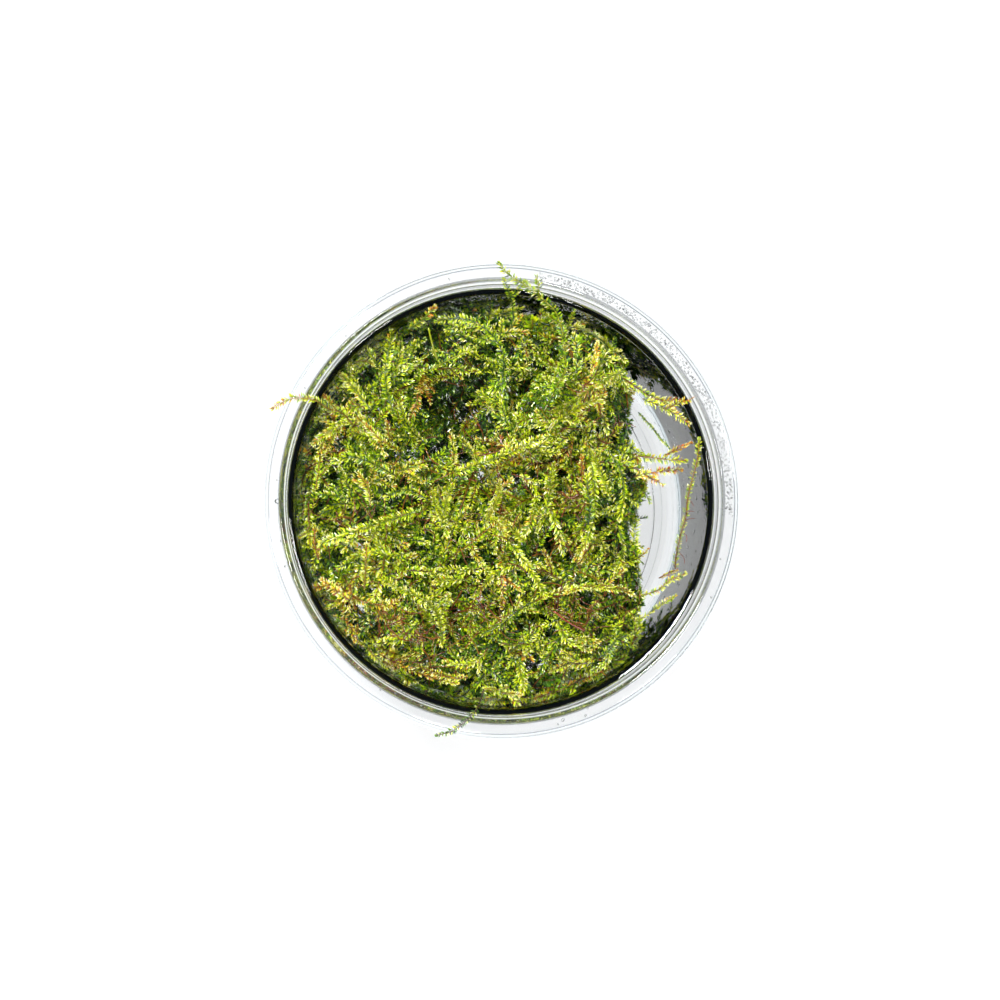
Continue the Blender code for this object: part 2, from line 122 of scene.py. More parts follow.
# name, record slot, half width, plan points from the growing tip, held heights
G, Y, O, R = "moss_green", "moss_yellow_green", "moss_olive_brown", "stem_red_brown"
SHOOTS = [
    ("shoot_wall_west", Y, THIN_R, [(-30.2, 8.2), (-30.7, 5.0), (-31.2, 1.8), (-31.6, -1.0)], None),
    ("shoot_wall_southwest", O, THIN_R, [(-31.4, -4.0), (-31.2, -7.5), (-30.6, -9.8)], None),
    ("shoot_green_west", G, SHOOT_R, [(-28.2, 6.6), (-25.3, 7.3), (-22.2, 6.5), (-17.8, 4.2)], None),
    ("shoot_fan_west", Y, SHOOT_R, [(-26.7, 21.2), (-24.7, 18.7), (-22.0, 15.3)], None),
    ("shoot_column_west", Y, SHOOT_R, [(-18.6, 28.4), (-18.8, 26.0), (-19.4, 22.8), (-19.4, 19.0), (-18.3, 15.2)], None),
    ("shoot_arch_north", G, SHOOT_R, [(-10.8, 30.6), (-7.0, 31.0), (-3.5, 29.7), (-0.9, 27.2), (0.4, 24.0), (0.2, 20.8)], None),
    ("shoot_tip_northwest", O, SHOOT_R, [(-11.4, 32.4), (-13.4, 30.4), (-15.6, 29.0)], None),
    ("shoot_rail_north", G, THIN_R, [(-14.6, 21.2), (-11.8, 22.3), (-7.8, 24.3), (-4.3, 26.0)], None),
    ("stem_bare_north", G, BARE_R, [(-12.3, 28.9), (-11.5, 26.0), (-10.8, 24.0)], None),
    ("shoot_fan_middle", G, SHOOT_R, [(-3.6, 18.6), (-1.6, 17.6), (1.4, 17.2)], None),
    ("shoot_green_middle", G, SHOOT_R, [(-1.2, 14.6), (0.6, 13.0), (2.4, 11.6)], None),
    ("shoot_zebra_northeast", G, SHOOT_R, [(12.2, 28.0), (12.7, 24.8), (12.4, 21.4)], None),
    ("shoot_amber_northeast", O, THIN_R, [(16.2, 26.7), (15.6, 24.0), (14.9, 20.8)], None),
    ("shoot_pale_northeast", Y, SHOOT_R, [(15.8, 19.2), (18.0, 20.8), (20.2, 21.6)], None),
    ("shoot_bow_west", G, SHOOT_R, [(-19.4, 0.6), (-16.8, 1.8), (-14.6, 1.4), (-12.4, 0.0)], None),
    ("shoot_amber_column_upper", O, SHOOT_R, [(-24.0, 4.6), (-22.4, 2.3), (-22.0, -1.0)], None),
    ("shoot_amber_column_lower", Y, SHOOT_R, [(-22.6, -7.6), (-22.8, -11.0), (-23.0, -14.6)], None),
    ("shoot_bright_west", Y, 1.1, [(-30.2, -7.0), (-27.0, -6.0), (-23.0, -4.7), (-18.6, -3.2), (-14.4, -1.9)], None),
    ("shoot_sickle_middle", Y, SHOOT_R, [(-8.4, 2.4), (-9.4, 0.2), (-9.8, -2.4), (-10.4, -5.0)], None),
    ("shoot_ridge_lower", Y, 1.1, [(6.3, 10.4), (2.8, 8.7), (-0.5, 7.2), (-4.4, 5.8), (-8.0, 4.6)], None),
    ("shoot_ridge_upper", Y, 1.1, [(16.6, 17.4), (13.4, 16.0), (10.6, 14.2), (8.2, 12.0)], None),
    ("shoot_gold_middle", Y, SHOOT_R, [(-0.6, 3.0), (-0.8, 0.6), (-1.9, -1.8), (-3.0, -3.8)], None),
    ("shoot_gold_fork", Y, SHOOT_R, [(-0.2, -3.2), (1.6, -5.0), (3.8, -7.0)], None),
    ("shoot_column_middle", Y, SHOOT_R, [(8.7, 5.2), (8.5, 2.6), (7.4, -0.4), (7.0, -2.6)], None),
    ("shoot_column_east", G, SHOOT_R, [(14.2, 4.2), (14.4, 1.6), (14.8, -1.2), (14.4, -4.0)], None),
    ("shoot_pale_east", Y, SHOOT_R, [(14.3, 9.4), (15.8, 6.6), (17.4, 3.2), (18.6, 0.0)], None),
    ("stem_pink_arc", R, BARE_R, [(9.9, 1.4), (11.2, 0.4), (12.8, 1.0)], None),
    ("shoot_elbow_southwest", Y, SHOOT_R, [(-20.6, -12.8), (-17.4, -14.6), (-13.6, -16.2), (-11.2, -18.2), (-10.1, -21.0), (-10.0, -23.6)], None),
    ("shoot_ridge_southwest", Y, SHOOT_R, [(-11.2, -13.6), (-9.0, -13.2), (-6.4, -13.2)], None),
    ("shoot_orange_southwest", O, SHOOT_R, [(-30.0, -13.2), (-28.0, -14.8), (-25.6, -16.6)], None),
    ("shoot_diagonal_south", G, SHOOT_R, [(-3.2, -22.3), (-0.2, -20.7), (2.5, -18.5), (5.5, -16.7)], None),
    ("shoot_gold_arc_southeast", Y, THIN_R, [(10.6, -15.4), (13.8, -14.3), (17.6, -14.2), (21.2, -14.8)], None),
    ("stem_red_southeast", R, BARE_R, [(8.8, -18.5), (11.0, -20.2), (13.8, -21.7)], None),
    ("shoot_green_southeast", G, SHOOT_R, [(20.0, -22.4), (18.4, -24.6), (16.6, -26.2)], None),
    ("shoot_tuft_southeast", O, SHOOT_R, [(9.8, -26.4), (12.2, -27.2), (14.4, -27.2)], None),
    ("shoot_yellow_south", Y, SHOOT_R, [(4.0, -31.2), (3.2, -28.8), (2.9, -26.4)], None),
    ("shoot_gold_south", Y, SHOOT_R, [(-2.6, -31.4), (-0.6, -31.6), (1.4, -31.2)], None),
    ("shoot_wall_south", O, THIN_R, [(-14.0, -27.6), (-11.0, -28.8), (-8.0, -29.6), (-5.6, -29.6)], None),
    ("shoot_yellow_west", Y, SHOOT_R, [(-31.4, 9.6), (-29.3, 11.4), (-26.4, 12.6)], None),
    ("shoot_bridge_east_upper", O, SHOOT_R, [(20.1, 20.4), (22.8, 18.8), (26.2, 17.1), (29.1, 17.1)], [41.2, 41.4, 41.2, 40.8]),
    ("shoot_bridge_east_lower", Y, SHOOT_R, [(23.4, 17.0), (26.3, 15.9), (29.4, 14.5), (31.4, 13.2)], [40.2, 40.6, 41.0, 42.0]),
    ("shoot_arm_east_lower", O, SHOOT_R, [(22.7, 4.3), (25.4, 5.0), (28.2, 5.4), (30.6, 5.6)], [36.6, 36.8, 37.0, 36.8]),
    ("shoot_arm_east_upper", Y, SHOOT_R, [(22.9, 7.8), (24.7, 7.6), (27.9, 7.2), (31.2, 7.0)], [38.6, 39.0, 39.6, 39.2]),
    ("shoot_hanging_east", Y, THIN_R, [(33.3, 10.5), (32.9, 6.4), (32.1, 2.6), (31.7, -0.1), (31.6, -2.6), (30.9, -5.1), (30.2, -8.9), (30.1, -11.0)], [41.6, 39.6, 38.0, 37.0, 36.0, 35.0, 33.6, 32.8]),
    ("shoot_twig_southeast", Y, THIN_R, [(23.4, -15.9), (26.5, -14.9), (28.0, -13.5), (29.7, -12.7), (31.1, -12.1)], [39.6, 39.4, 39.2, 39.2, 39.2]),
    ("shoot_needle_southeast", Y, THIN_R, [(22.5, -20.2), (24.5, -19.2), (27.0, -17.4), (29.4, -15.8)], [38.6, 38.8, 39.4, 39.6]),
    ("shoot_over_rim_north", O, 1.0, [(-0.7, 39.3), (1.1, 37.3), (3.7, 35.7), (6.6, 33.5), (8.8, 31.4), (9.9, 28.3), (10.3, 24.5), (10.5, 21.9), (9.0, 19.0), (6.8, 14.7)], [46.3, 46.6, 46.6, 46.2, 45.6, 44.8, 44.0, 43.6, 43.6, 43.6]),
    ("shoot_over_rim_north_fork", G, THIN_R, [(-0.1, 36.6), (0.9, 34.6), (1.4, 32.9), (1.8, 30.3)], [46.0, 44.6, 42.0, 39.6]),
    ("shoot_over_rim_west", O, SHOOT_R, [(-38.3, 15.0), (-36.1, 16.4), (-34.0, 16.8), (-31.3, 16.4), (-29.2, 15.1), (-27.0, 14.6), (-25.1, 12.8)], [45.9, 46.5, 46.5, 45.6, 44.2, 43.0, 42.0]),
    ("shoot_over_rim_south", O, THIN_R, [(-3.2, -31.6), (-4.1, -34.3), (-4.9, -35.3), (-6.4, -36.9), (-8.5, -38.4), (-11.0, -39.1)], [42.6, 44.6, 45.6, 46.0, 45.8, 44.6]),
]

# Shoots whose growing tip is at the last plan point.
TIP_LAST = {
    "shoot_bridge_east_upper",
    "shoot_bridge_east_lower",
    "shoot_arm_east_upper",
    "shoot_arm_east_lower",
    "shoot_twig_southeast",
    "shoot_needle_southeast",
    "shoot_over_rim_south",
    "shoot_rail_north",
}

# tone of the body, tone at the growing tip, tone of the stem, side branches per mm
STYLE = {
    "shoot_wall_west": (0.50, 0.62, 0.80, 0.10),
    "shoot_wall_southwest": (0.80, 0.72, 0.86, 0.05),
    "shoot_green_west": (0.42, 0.56, 0.30, 0.10),
    "shoot_fan_west": (0.56, 0.70, 0.45, 0.25),
    "shoot_column_west": (0.50, 0.60, 0.42, 0.12),
    "shoot_arch_north": (0.42, 0.58, 0.30, 0.22),
    "shoot_tip_northwest": (0.64, 0.80, 0.45, 0.10),
    "shoot_rail_north": (0.46, 0.62, 0.60, 0.05),
    "stem_bare_north": (0.58, 0.58, 0.58, 0.0),
    "shoot_fan_middle": (0.46, 0.60, 0.35, 0.35),
    "shoot_green_middle": (0.44, 0.54, 0.30, 0.1),
    "shoot_zebra_northeast": (0.46, 0.66, 0.25, 0.1),
    "shoot_amber_northeast": (0.78, 0.72, 0.86, 0.1),
    "shoot_pale_northeast": (0.62, 0.70, 0.50, 0.1),
    "shoot_bow_west": (0.48, 0.60, 0.30, 0.1),
    "shoot_amber_column_upper": (0.70, 0.76, 0.80, 0.15),
    "shoot_amber_column_lower": (0.60, 0.74, 0.80, 0.15),
    "shoot_bright_west": (0.53, 0.64, 0.48, 0.12),
    "shoot_sickle_middle": (0.55, 0.66, 0.50, 0.1),
    "shoot_ridge_lower": (0.56, 0.68, 0.50, 0.1),
    "shoot_ridge_upper": (0.58, 0.70, 0.50, 0.15),
    "shoot_gold_middle": (0.62, 0.74, 0.60, 0.1),
    "shoot_gold_fork": (0.60, 0.72, 0.60, 0.1),
    "shoot_column_middle": (0.54, 0.66, 0.50, 0.12),
    "shoot_column_east": (0.44, 0.58, 0.30, 0.12),
    "shoot_pale_east": (0.58, 0.70, 0.50, 0.1),
    "stem_pink_arc": (0.89, 0.89, 0.89, 0.0),
    "shoot_elbow_southwest": (0.56, 0.64, 0.50, 0.12),
    "shoot_ridge_southwest": (0.58, 0.68, 0.50, 0.1),
    "shoot_orange_southwest": (0.76, 0.82, 0.86, 0.1),
    "shoot_diagonal_south": (0.44, 0.56, 0.30, 0.12),
    "shoot_gold_arc_southeast": (0.60, 0.76, 0.80, 0.05),
    "stem_red_southeast": (1.0, 1.0, 1.0, 0.0),
    "shoot_green_southeast": (0.42, 0.54, 0.30, 0.12),
    "shoot_tuft_southeast": (0.66, 0.72, 0.93, 0.35),
    "shoot_yellow_south": (0.58, 0.66, 0.50, 0.1),
    "shoot_gold_south": (0.60, 0.68, 0.80, 0.1),
    "shoot_wall_south": (0.74, 0.66, 0.90, 0.08),
    "shoot_yellow_west": (0.60, 0.72, 0.70, 0.15),
    "shoot_bridge_east_upper": (0.53, 0.85, 0.86, 0.10),
    "shoot_bridge_east_lower": (0.54, 0.84, 0.80, 0.10),
    "shoot_arm_east_upper": (0.56, 0.62, 0.86, 0.10),
    "shoot_arm_east_lower": (0.80, 0.83, 0.90, 0.08),
    "shoot_hanging_east": (0.53, 0.58, 0.84, 0.0),
    "shoot_twig_southeast": (0.57, 0.62, 0.84, 0.10),
    "shoot_needle_southeast": (0.60, 0.66, 0.60, 0.0),
    "shoot_over_rim_north": (0.36, 0.50, 0.60, 0.14),
    "shoot_over_rim_north_fork": (0.44, 0.56, 0.30, 0.1),
    "shoot_over_rim_west": (0.52, 0.82, 0.80, 0.08),
    "shoot_over_rim_south": (0.28, 0.40, 0.93, 0.0),
}


def smooth_line(points, step=0.8):
    p = np.array(points, float)
    ends = np.vstack([2 * p[0] - p[1], p, 2 * p[-1] - p[-2]])
    out = []
    for i in range(1, len(ends) - 2):
        a, b, c, d = ends[i - 1 : i + 3]
        n = max(2, int(np.linalg.norm((c - b)[:2]) / step) + 1)
        for t in np.linspace(0, 1, n, endpoint=False):
            out.append(
                0.5
                * (
                    2 * b
                    + (c - a) * t
                    + (2 * a - 5 * b + 4 * c - d) * t * t
                    + (3 * b - a - 3 * c + d) * t**3
                )
            )
    out.append(p[-1])
    return np.array(out)


def cup_under(r, clear):
    z = np.full(r.shape, -1e3)
    z = np.where(r > WALL_TOP_RADIUS - clear, LEDGE_Z + clear, z)
    z = np.where(r > MOUTH_RADIUS - clear, CUP_HEIGHT + clear, z)
    return np.where(r > RIM_DIAMETER / 2 + clear, -1e3, z)


def lay(shoots):
    """The CAD model's own rule for how the shoots lie on the mat and each other."""
    laid = []
    for name, look, radius, plan, heights in shoots:
        given = [(x, y, 0.0) for x, y in plan]
        if heights:
            given = [(x, y, z) for (x, y), z in zip(plan, heights)]
        line = smooth_line(given)
        xy = line[:, :2]
        need = np.full(len(xy), -1e3)
        for dx in (-1, 0, 1):
            for dy in (-1, 0, 1):
                at = xy + radius * np.array([dx, dy])
                inside = np.hypot(*at.T) < mat_edge(np.arctan2(at[:, 1], at[:, 0])) + 0.4
                high = mat_top(at[:, 0], at[:, 1]) + radius + GAP + 0.35
                need = np.maximum(need, np.where(inside, high, -1e3))
        need = np.maximum(need, cup_under(np.hypot(*xy.T), radius + GAP))
        for other, r2 in laid:
            reach = radius + r2 + GAP + 0.2
            d = np.linalg.norm(xy[:, None] - other[None, :, :2], axis=2)
            over = np.sqrt(np.maximum(reach**2 - d**2, 0)) + other[None, :, 2]
            over = np.where(d < reach, over, -1e3)
            need = np.maximum(need, over.max(axis=1))
        z = np.maximum(need, line[:, 2]) if heights else need
        s = np.concatenate([[0], np.cumsum(np.linalg.norm(np.diff(xy, axis=0), axis=1))])
        away = np.abs(s[:, None] - s[None, :])
        z = np.maximum(z, (z[None, :] - 0.62 * away).max(axis=1))
        for _ in range(3):
            soft = np.convolve(np.pad(z, 2, mode="edge"), np.ones(5) / 5, mode="valid")
            z = np.maximum(soft, z)
        laid.append((np.column_stack([xy, z]), radius))
    return [line for line, _ in laid]


# ---- growing -----------------------------------------------------------------
def unit(v):
    return v / np.maximum(np.linalg.norm(v, axis=-1, keepdims=True), 1e-9)


def wall_inside(z):
    """The cup's inner radius at this height."""
    return np.interp(
        z,
        [1.8, 2.4, 3.6, 6.0, 40.1, 40.55, 40.62, 43.7, 44.6],
        [30.6, 31.8, 32.7, 33.1, 34.9, 35.15, 35.9, 36.1, 36.3],
    )


def clear_of_cup(v, air=0.12):
    """Moves points that would lie in the plastic back out of it."""
    x, y, z = v[:, 0], v[:, 1], v[:, 2]
    r = np.hypot(x, y)
    on_rim = (r > 36.2) & (z > 43.2) & (r < 40.15)
    z = np.where(on_rim, np.maximum(z, 45.06), z)
    z = np.where(r < 36.0, np.maximum(z, FLOOR_Z + air), z)
    most = wall_inside(z) - air
    inside = (z < 44.7) & (r > most) & (r < 39.9)
    k = np.where(inside, most / np.maximum(r, 1e-6), 1.0)
    return np.column_stack([x * k, y * k, z])


# (along the leaf, across in half widths, lift in half widths), triangles
LEAF_FINE = (
    np.array([[0, 0, 0], [0.5, 0, 0], [1, 0, 0.1], [0.2, -0.78, 0.3], [0.6, -0.74, 0.4], [0.2, 0.78, 0.3], [0.6, 0.74, 0.4]]),
    np.array([[0, 5, 1], [0, 1, 3], [3, 1, 4], [5, 6, 1], [4, 1, 2], [6, 2, 1]]),
)
LEAF_MID = (
    np.array([[0, 0, 0], [0.42, 0, 0], [1, 0, 0.1], [0.36, -1, 0.4], [0.36, 1, 0.4]]),
    np.array([[0, 4, 1], [0, 1, 3], [3, 1, 2], [4, 2, 1]]),
)
LEAF_PLAIN = (
    np.array([[0, 0, 0], [1, 0, 0.1], [0.4, -1, 0.35], [0.4, 1, 0.35]]),
    np.array([[0, 3, 1], [0, 1, 2]]),
)


class Growth:
    """Leaves and stems gathered for one mesh."""

    def __init__(self, name):
        self.name = name
        self.points, self.faces, self.uvs = [], [], []
        self.count = 0

    def add(self, points, faces, uvs):
        self.points.append(points)
        self.faces.append(faces + self.count)
        self.uvs.append(uvs)
        self.count += len(points)

    def leaves(self, shape, base, along, across, up, length, half, bend, tone):
        """Many leaves at once: their feet, directions, sizes and tones."""
        table, tris = shape
        t, w, m = table[:, 0], table[:, 1], table[:, 2]
        n, k = len(base), len(table)
        p = (
            base[:, None]
            + along[:, None] * (t[None, :, None] * length[:, None, None])
            + across[:, None] * (w[None, :, None] * half[:, None, None])
            + up[:, None]
            * (m[None, :] * half[:, None] + (t[None, :] ** 2) * (bend * length)[:, None])[:, :, None]
        )
        uv = np.empty((n, k, 2))
        uv[:, :, 0] = tone[:, None] + 0.0035 * w[None, :]
        uv[:, :, 1] = 0.02 + 0.96 * t[None, :]
        faces = (tris[None] + (np.arange(n) * k)[:, None, None]).reshape(-1, 3)
        self.add(p.reshape(-1, 3), faces, uv.reshape(-1, 2))

    def stem(self, line, normal, side, radius, tone, sides=5):
        """A tapering tube with pointed ends."""
        n = len(line)
        a = np.arange(sides) / sides * 2 * math.pi + 0.35
        ring = (
            np.cos(a)[None, :, None] * side[:, None] + np.sin(a)[None, :, None] * normal[:, None]
        )
        p = line[:, None] + ring * radius[:, None, None]
        i = np.arange(n - 1)[:, None] * sides
        j = np.arange(sides)[None]
        k = (j + 1) % sides
        f = np.concatenate(
            [
                np.stack([i + j, i + k, i + sides + j], -1).reshape(-1, 3),
                np.stack([i + k, i + sides + k, i + sides + j], -1).reshape(-1, 3),
            ]
        )
        first, last = line[0] * 2 - line[1], line[-1] * 2 - line[-2]
        first = line[0] + unit(first - line[0]) * radius[0] * 1.2
        last = line[-1] + unit(last - line[-1]) * radius[-1] * 1.6
        points = np.vstack([p.reshape(-1, 3), first, last])
        j = np.arange(sides)
        k = (j + 1) % sides
        end = (n - 1) * sides
        f = np.concatenate(
            [
                f,
                np.stack([k, j, np.full(sides, n * sides)], -1),
                np.stack([end + j, end + k, np.full(sides, n * sides + 1)], -1),
            ]
        )
        uv = np.empty((n, sides, 2))
        uv[:, :, 0] = tone + 0.003 * np.cos(a + 0.35)[None]
        uv[:, :, 1] = np.linspace(0.02, 0.3, n)[:, None] + 0.004 * np.sin(a)[None]
        uv = np.vstack([uv.reshape(-1, 2), [[tone, 0.0]], [[tone, 0.33]]])
        self.add(points, f, uv)

    def make(self, slot, material, keep_clear=True):
        points = np.vstack(self.points)
        if keep_clear:
            points = clear_of_cup(points)
        faces = np.vstack(self.faces).astype(np.int32)
        uvs = np.vstack(self.uvs)
        # what the cup's wall pressed flat has no area left
        a, b, c = (points[faces[:, i]] for i in range(3))
        area = np.linalg.norm(np.cross(b - a, c - a), axis=1) / 2
        faces = faces[area > 2e-4]
        used = np.unique(faces)
        renumber = np.zeros(len(points), np.int32)
        renumber[used] = np.arange(len(used))
        faces, points, uvs = renumber[faces], points[used], uvs[used]
        mesh = bpy.data.meshes.new(self.name)
        mesh.vertices.add(len(points))
        mesh.vertices.foreach_set("co", (points * MM).astype(np.float32).ravel())
        mesh.loops.add(len(faces) * 3)
        mesh.loops.foreach_set("vertex_index", faces.ravel())
        mesh.polygons.add(len(faces))
        mesh.polygons.foreach_set("loop_start", np.arange(len(faces), dtype=np.int32) * 3)
        mesh.update(calc_edges=True)
        layer = mesh.uv_layers.new(name="OFBake")
        layer.data.foreach_set("uv", uvs[faces.ravel()].astype(np.float32).ravel())
        mesh.shade_smooth()
        mesh.materials.append(material)
        obj = bpy.data.objects.new(self.name, mesh)
        scene.collection.objects.link(obj)
        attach(obj, "root")
        counts.append((self.name, len(faces)))
        return obj


counts = []


def resample(line, step):
    """The line at even steps, and the distance along it."""
    d = np.concatenate([[0], np.cumsum(np.linalg.norm(np.diff(line, axis=0), axis=1))])
    n = max(3, int(d[-1] / step) + 1)
    s = np.linspace(0, d[-1], n)
    return np.column_stack([np.interp(s, d, line[:, i]) for i in range(3)]), s


def frames(line, hint, twist=0.0):
    """Tangent, dorsal normal and side at each point. The normal keeps near hint."""
    t = unit(np.gradient(line, axis=0))
    hint = np.broadcast_to(np.asarray(hint, float), line.shape)
    n = hint - (hint * t).sum(1, keepdims=True) * t
    weak = np.linalg.norm(n, axis=1) < 0.15
    if weak.any():
        other = np.cross(t, [0.3, 1.0, 0.2])
        n[weak] = other[weak]
    n = unit(n)
    b = np.cross(t, n)
    a = np.broadcast_to(np.asarray(twist, float), (len(line),))[:, None]
    n, b = n * np.cos(a) + b * np.sin(a), b * np.cos(a) - n * np.sin(a)
    return t, n, b


def grow(
    out,
    rng,
    line,
    hint=(0, 0, 1),
    leaf=1.25,
    width=0.4,
    tone=0.45,
    tip_tone=None,
    stem_tone=0.3,
    shape=LEAF_MID,
    density=7.0,
    branches=0.0,
    stem_radius=0.12,
    sides=5,
    jitter=0.045,
    # pale: the share of leaves given a light tone whose tip the material paints near white, painted glints
    pale=0.06,
    spread=63.0,
    bare=0.0,
    twist=None,
    flat=0.75,
    stem_step=0.8,
    # the darkening below lowers the tone of deeper shoots: older leaves, and painted shade as well
    age_and_shade_darkening=0.0,
):
    """One leafy shoot. The line runs from its foot to its growing tip."""
    tip_tone = tone if tip_tone is None else tip_tone
    path, s = resample(line, 0.25)
    length = s[-1]
    hint = np.asarray(hint, float)
    if hint.ndim == 2:
        at, now = np.linspace(0, 1, len(hint)), s / length
        hint = np.column_stack([np.interp(now, at, hint[:, i]) for i in range(3)])
    if twist is None:
        twist = rng.normal(0, 0.35) + np.sin(s * rng.uniform(0.15, 0.4) + rng.uniform(0, 6)) * 0.3
    t, nrm, b = frames(path, hint, twist)

    coarse = np.unique(np.linspace(0, len(path) - 1, max(3, int(length / stem_step) + 2)).astype(int))
    share = s[coarse] / length
    thick = stem_radius * (1.15 - 0.55 * share)
    out.stem(path[coarse], nrm[coarse], b[coarse], thick, stem_tone, sides)
    if leaf > 0:
        first = bare * length
        n = max(4, int((length - first) * density))
        at = first + (length - first) * (np.arange(n) + rng.uniform(-0.3, 0.3, n)) / n
        bud = 5
        at = np.concatenate([np.clip(at, 0, length), np.full(bud, length) - rng.uniform(0, 0.25, bud)])
        n += bud
        order = np.arange(n)
        kind = rng.random(n)
        lateral = kind < 0.64
        azimuth = np.where(order % 2 == 0, 0.0, math.pi)
        azimuth = azimuth + rng.normal(0.16, 0.22, n) * np.where(order % 2 == 0, 1, -1)
        dorsal = rng.normal(math.pi / 2, 0.5, n)
        ventral = rng.normal(-math.pi / 2, 0.5, n)
        azimuth = np.where(lateral, azimuth, np.where(kind < 0.90, dorsal, ventral))
        i = np.clip(np.searchsorted(s, at), 0, len(s) - 1)
        p, tt, nn, bb = path[i], t[i], nrm[i], b[i]
        radial = np.cos(azimuth)[:, None] * bb + np.sin(azimuth)[:, None] * nn
        left = length - at
        open_ = np.clip(left / 1.6, 0.0, 1.0) ** 0.7
        angle = np.radians(14 + (spread - 14) * open_ + rng.normal(0, 7, n))
        angle = np.where(lateral, angle, angle * 0.82)
        along = np.cos(angle)[:, None] * tt + np.sin(angle)[:, None] * radial
        cross0 = np.cross(radial, tt)
        cross1 = unit(np.cross(nn, along))
        cross1 = cross1 * np.sign((cross1 * cross0).sum(1) + 1e-9)[:, None]
        f = np.clip(rng.normal(flat, 0.22, n), 0, 1)[:, None]
        across = unit(cross0 * (1 - f) + cross1 * f)
        across = unit(across - (across * along).sum(1, keepdims=True) * along)
        up = np.cross(along, across)
        # the upper face turns to the growing tip and away from the ground
        turn = np.sign((up * (nn + 0.4 * tt)).sum(1) + 1e-9)[:, None]
        up = up * turn
        across = across * turn
        size = leaf * rng.uniform(0.82, 1.16, n) * (0.62 + 0.38 * np.clip(left / 2.0, 0, 1) ** 0.6)
        size = size * np.where(at < 1.0, 0.85, 1.0)
        half = width / 2 * rng.uniform(0.85, 1.15, n) * np.sqrt(size / max(leaf, 1e-6))
        bend = rng.normal(0.08, 0.09, n)
        mix = np.clip(at / length, 0, 1) ** 2
        tones = tone * (1 - mix) + tip_tone * mix + rng.normal(0, jitter, n)
        light = rng.random(n) < pale
        tones = np.where(kind * 7.3 % 1.0 < 0.16, tones - 0.20, tones)
        # the leaves picked by pale take a tone whose tip is painted near white: painted glints of wet leaves
        tones = np.where(light, rng.uniform(0.66, 0.73, n), tones)
        # deeper shoots are darker: older leaves and painted shade
        tones = np.clip(tones - age_and_shade_darkening, 0.01, 0.99)
        foot = p + radial * stem_radius * 0.7
        out.leaves(shape, foot, along, across, up, size, half, bend, tones)
    # side branches, in the plane of the shoot
    count = int(length * branches + rng.random())
    for _ in range(count):
        at = rng.uniform(0.12, 0.8) * length
        i = int(np.clip(np.searchsorted(s, at), 1, len(s) - 2))
        hand = rng.choice([-1.0, 1.0])
        reach = min(rng.uniform(1.8, 4.6), 0.35 * length + 1.5)
        angle = math.radians(rng.uniform(38, 60))
        heading = math.cos(angle) * t[i] + math.sin(angle) * hand * b[i] + 0.12 * nrm[i]
        steps = np.linspace(0, 1, 6)[:, None]
        branch = path[i] + reach * steps * unit(heading) + reach * 0.22 * steps**2 * t[i]
        branch = branch + nrm[i] * rng.normal(0.0, 0.25) * steps**2 * reach * 0.5
        grow(
            out, rng, branch, nrm[i], leaf * 0.86, width * 0.92, tone * 0.5 + tip_tone * 0.5,
            tip_tone, stem_tone, shape, density, 0.0, stem_radius * 0.75, max(4, sides - 1),
            jitter, pale, spread, 0.0, rng.normal(0, 0.3), flat, stem_step, age_and_shade_darkening,
        )


# ---- materials -----------------------------------------------------------------
PALETTE = [
    (0.00, (0.006, 0.009, 0.003)),
    (0.10, (0.012, 0.034, 0.004)),
    (0.22, (0.028, 0.095, 0.005)),
    (0.35, (0.105, 0.260, 0.004)),
    (0.48, (0.400, 0.590, 0.004)),
    (0.60, (0.740, 0.790, 0.006)),
    (0.70, (0.720, 0.740, 0.040)),
    (0.78, (0.780, 0.500, 0.020)),
    (0.86, (0.680, 0.200, 0.015)),
    (0.93, (0.150, 0.055, 0.020)),
    (1.00, (0.600, 0.110, 0.025)),
]


def ramp(nodes, stops, interpolation="LINEAR"):
    node = nodes.new("ShaderNodeValToRGB")
    node.color_ramp.interpolation = interpolation
    elements = node.color_ramp.elements
    while len(elements) > 1:
        elements.remove(elements[-1])
    elements[0].position, elements[0].color = stops[0][0], (*stops[0][1], 1)
    for at, colour in stops[1:]:
        e = elements.new(at)
        e.color = (*colour, 1)
    return node


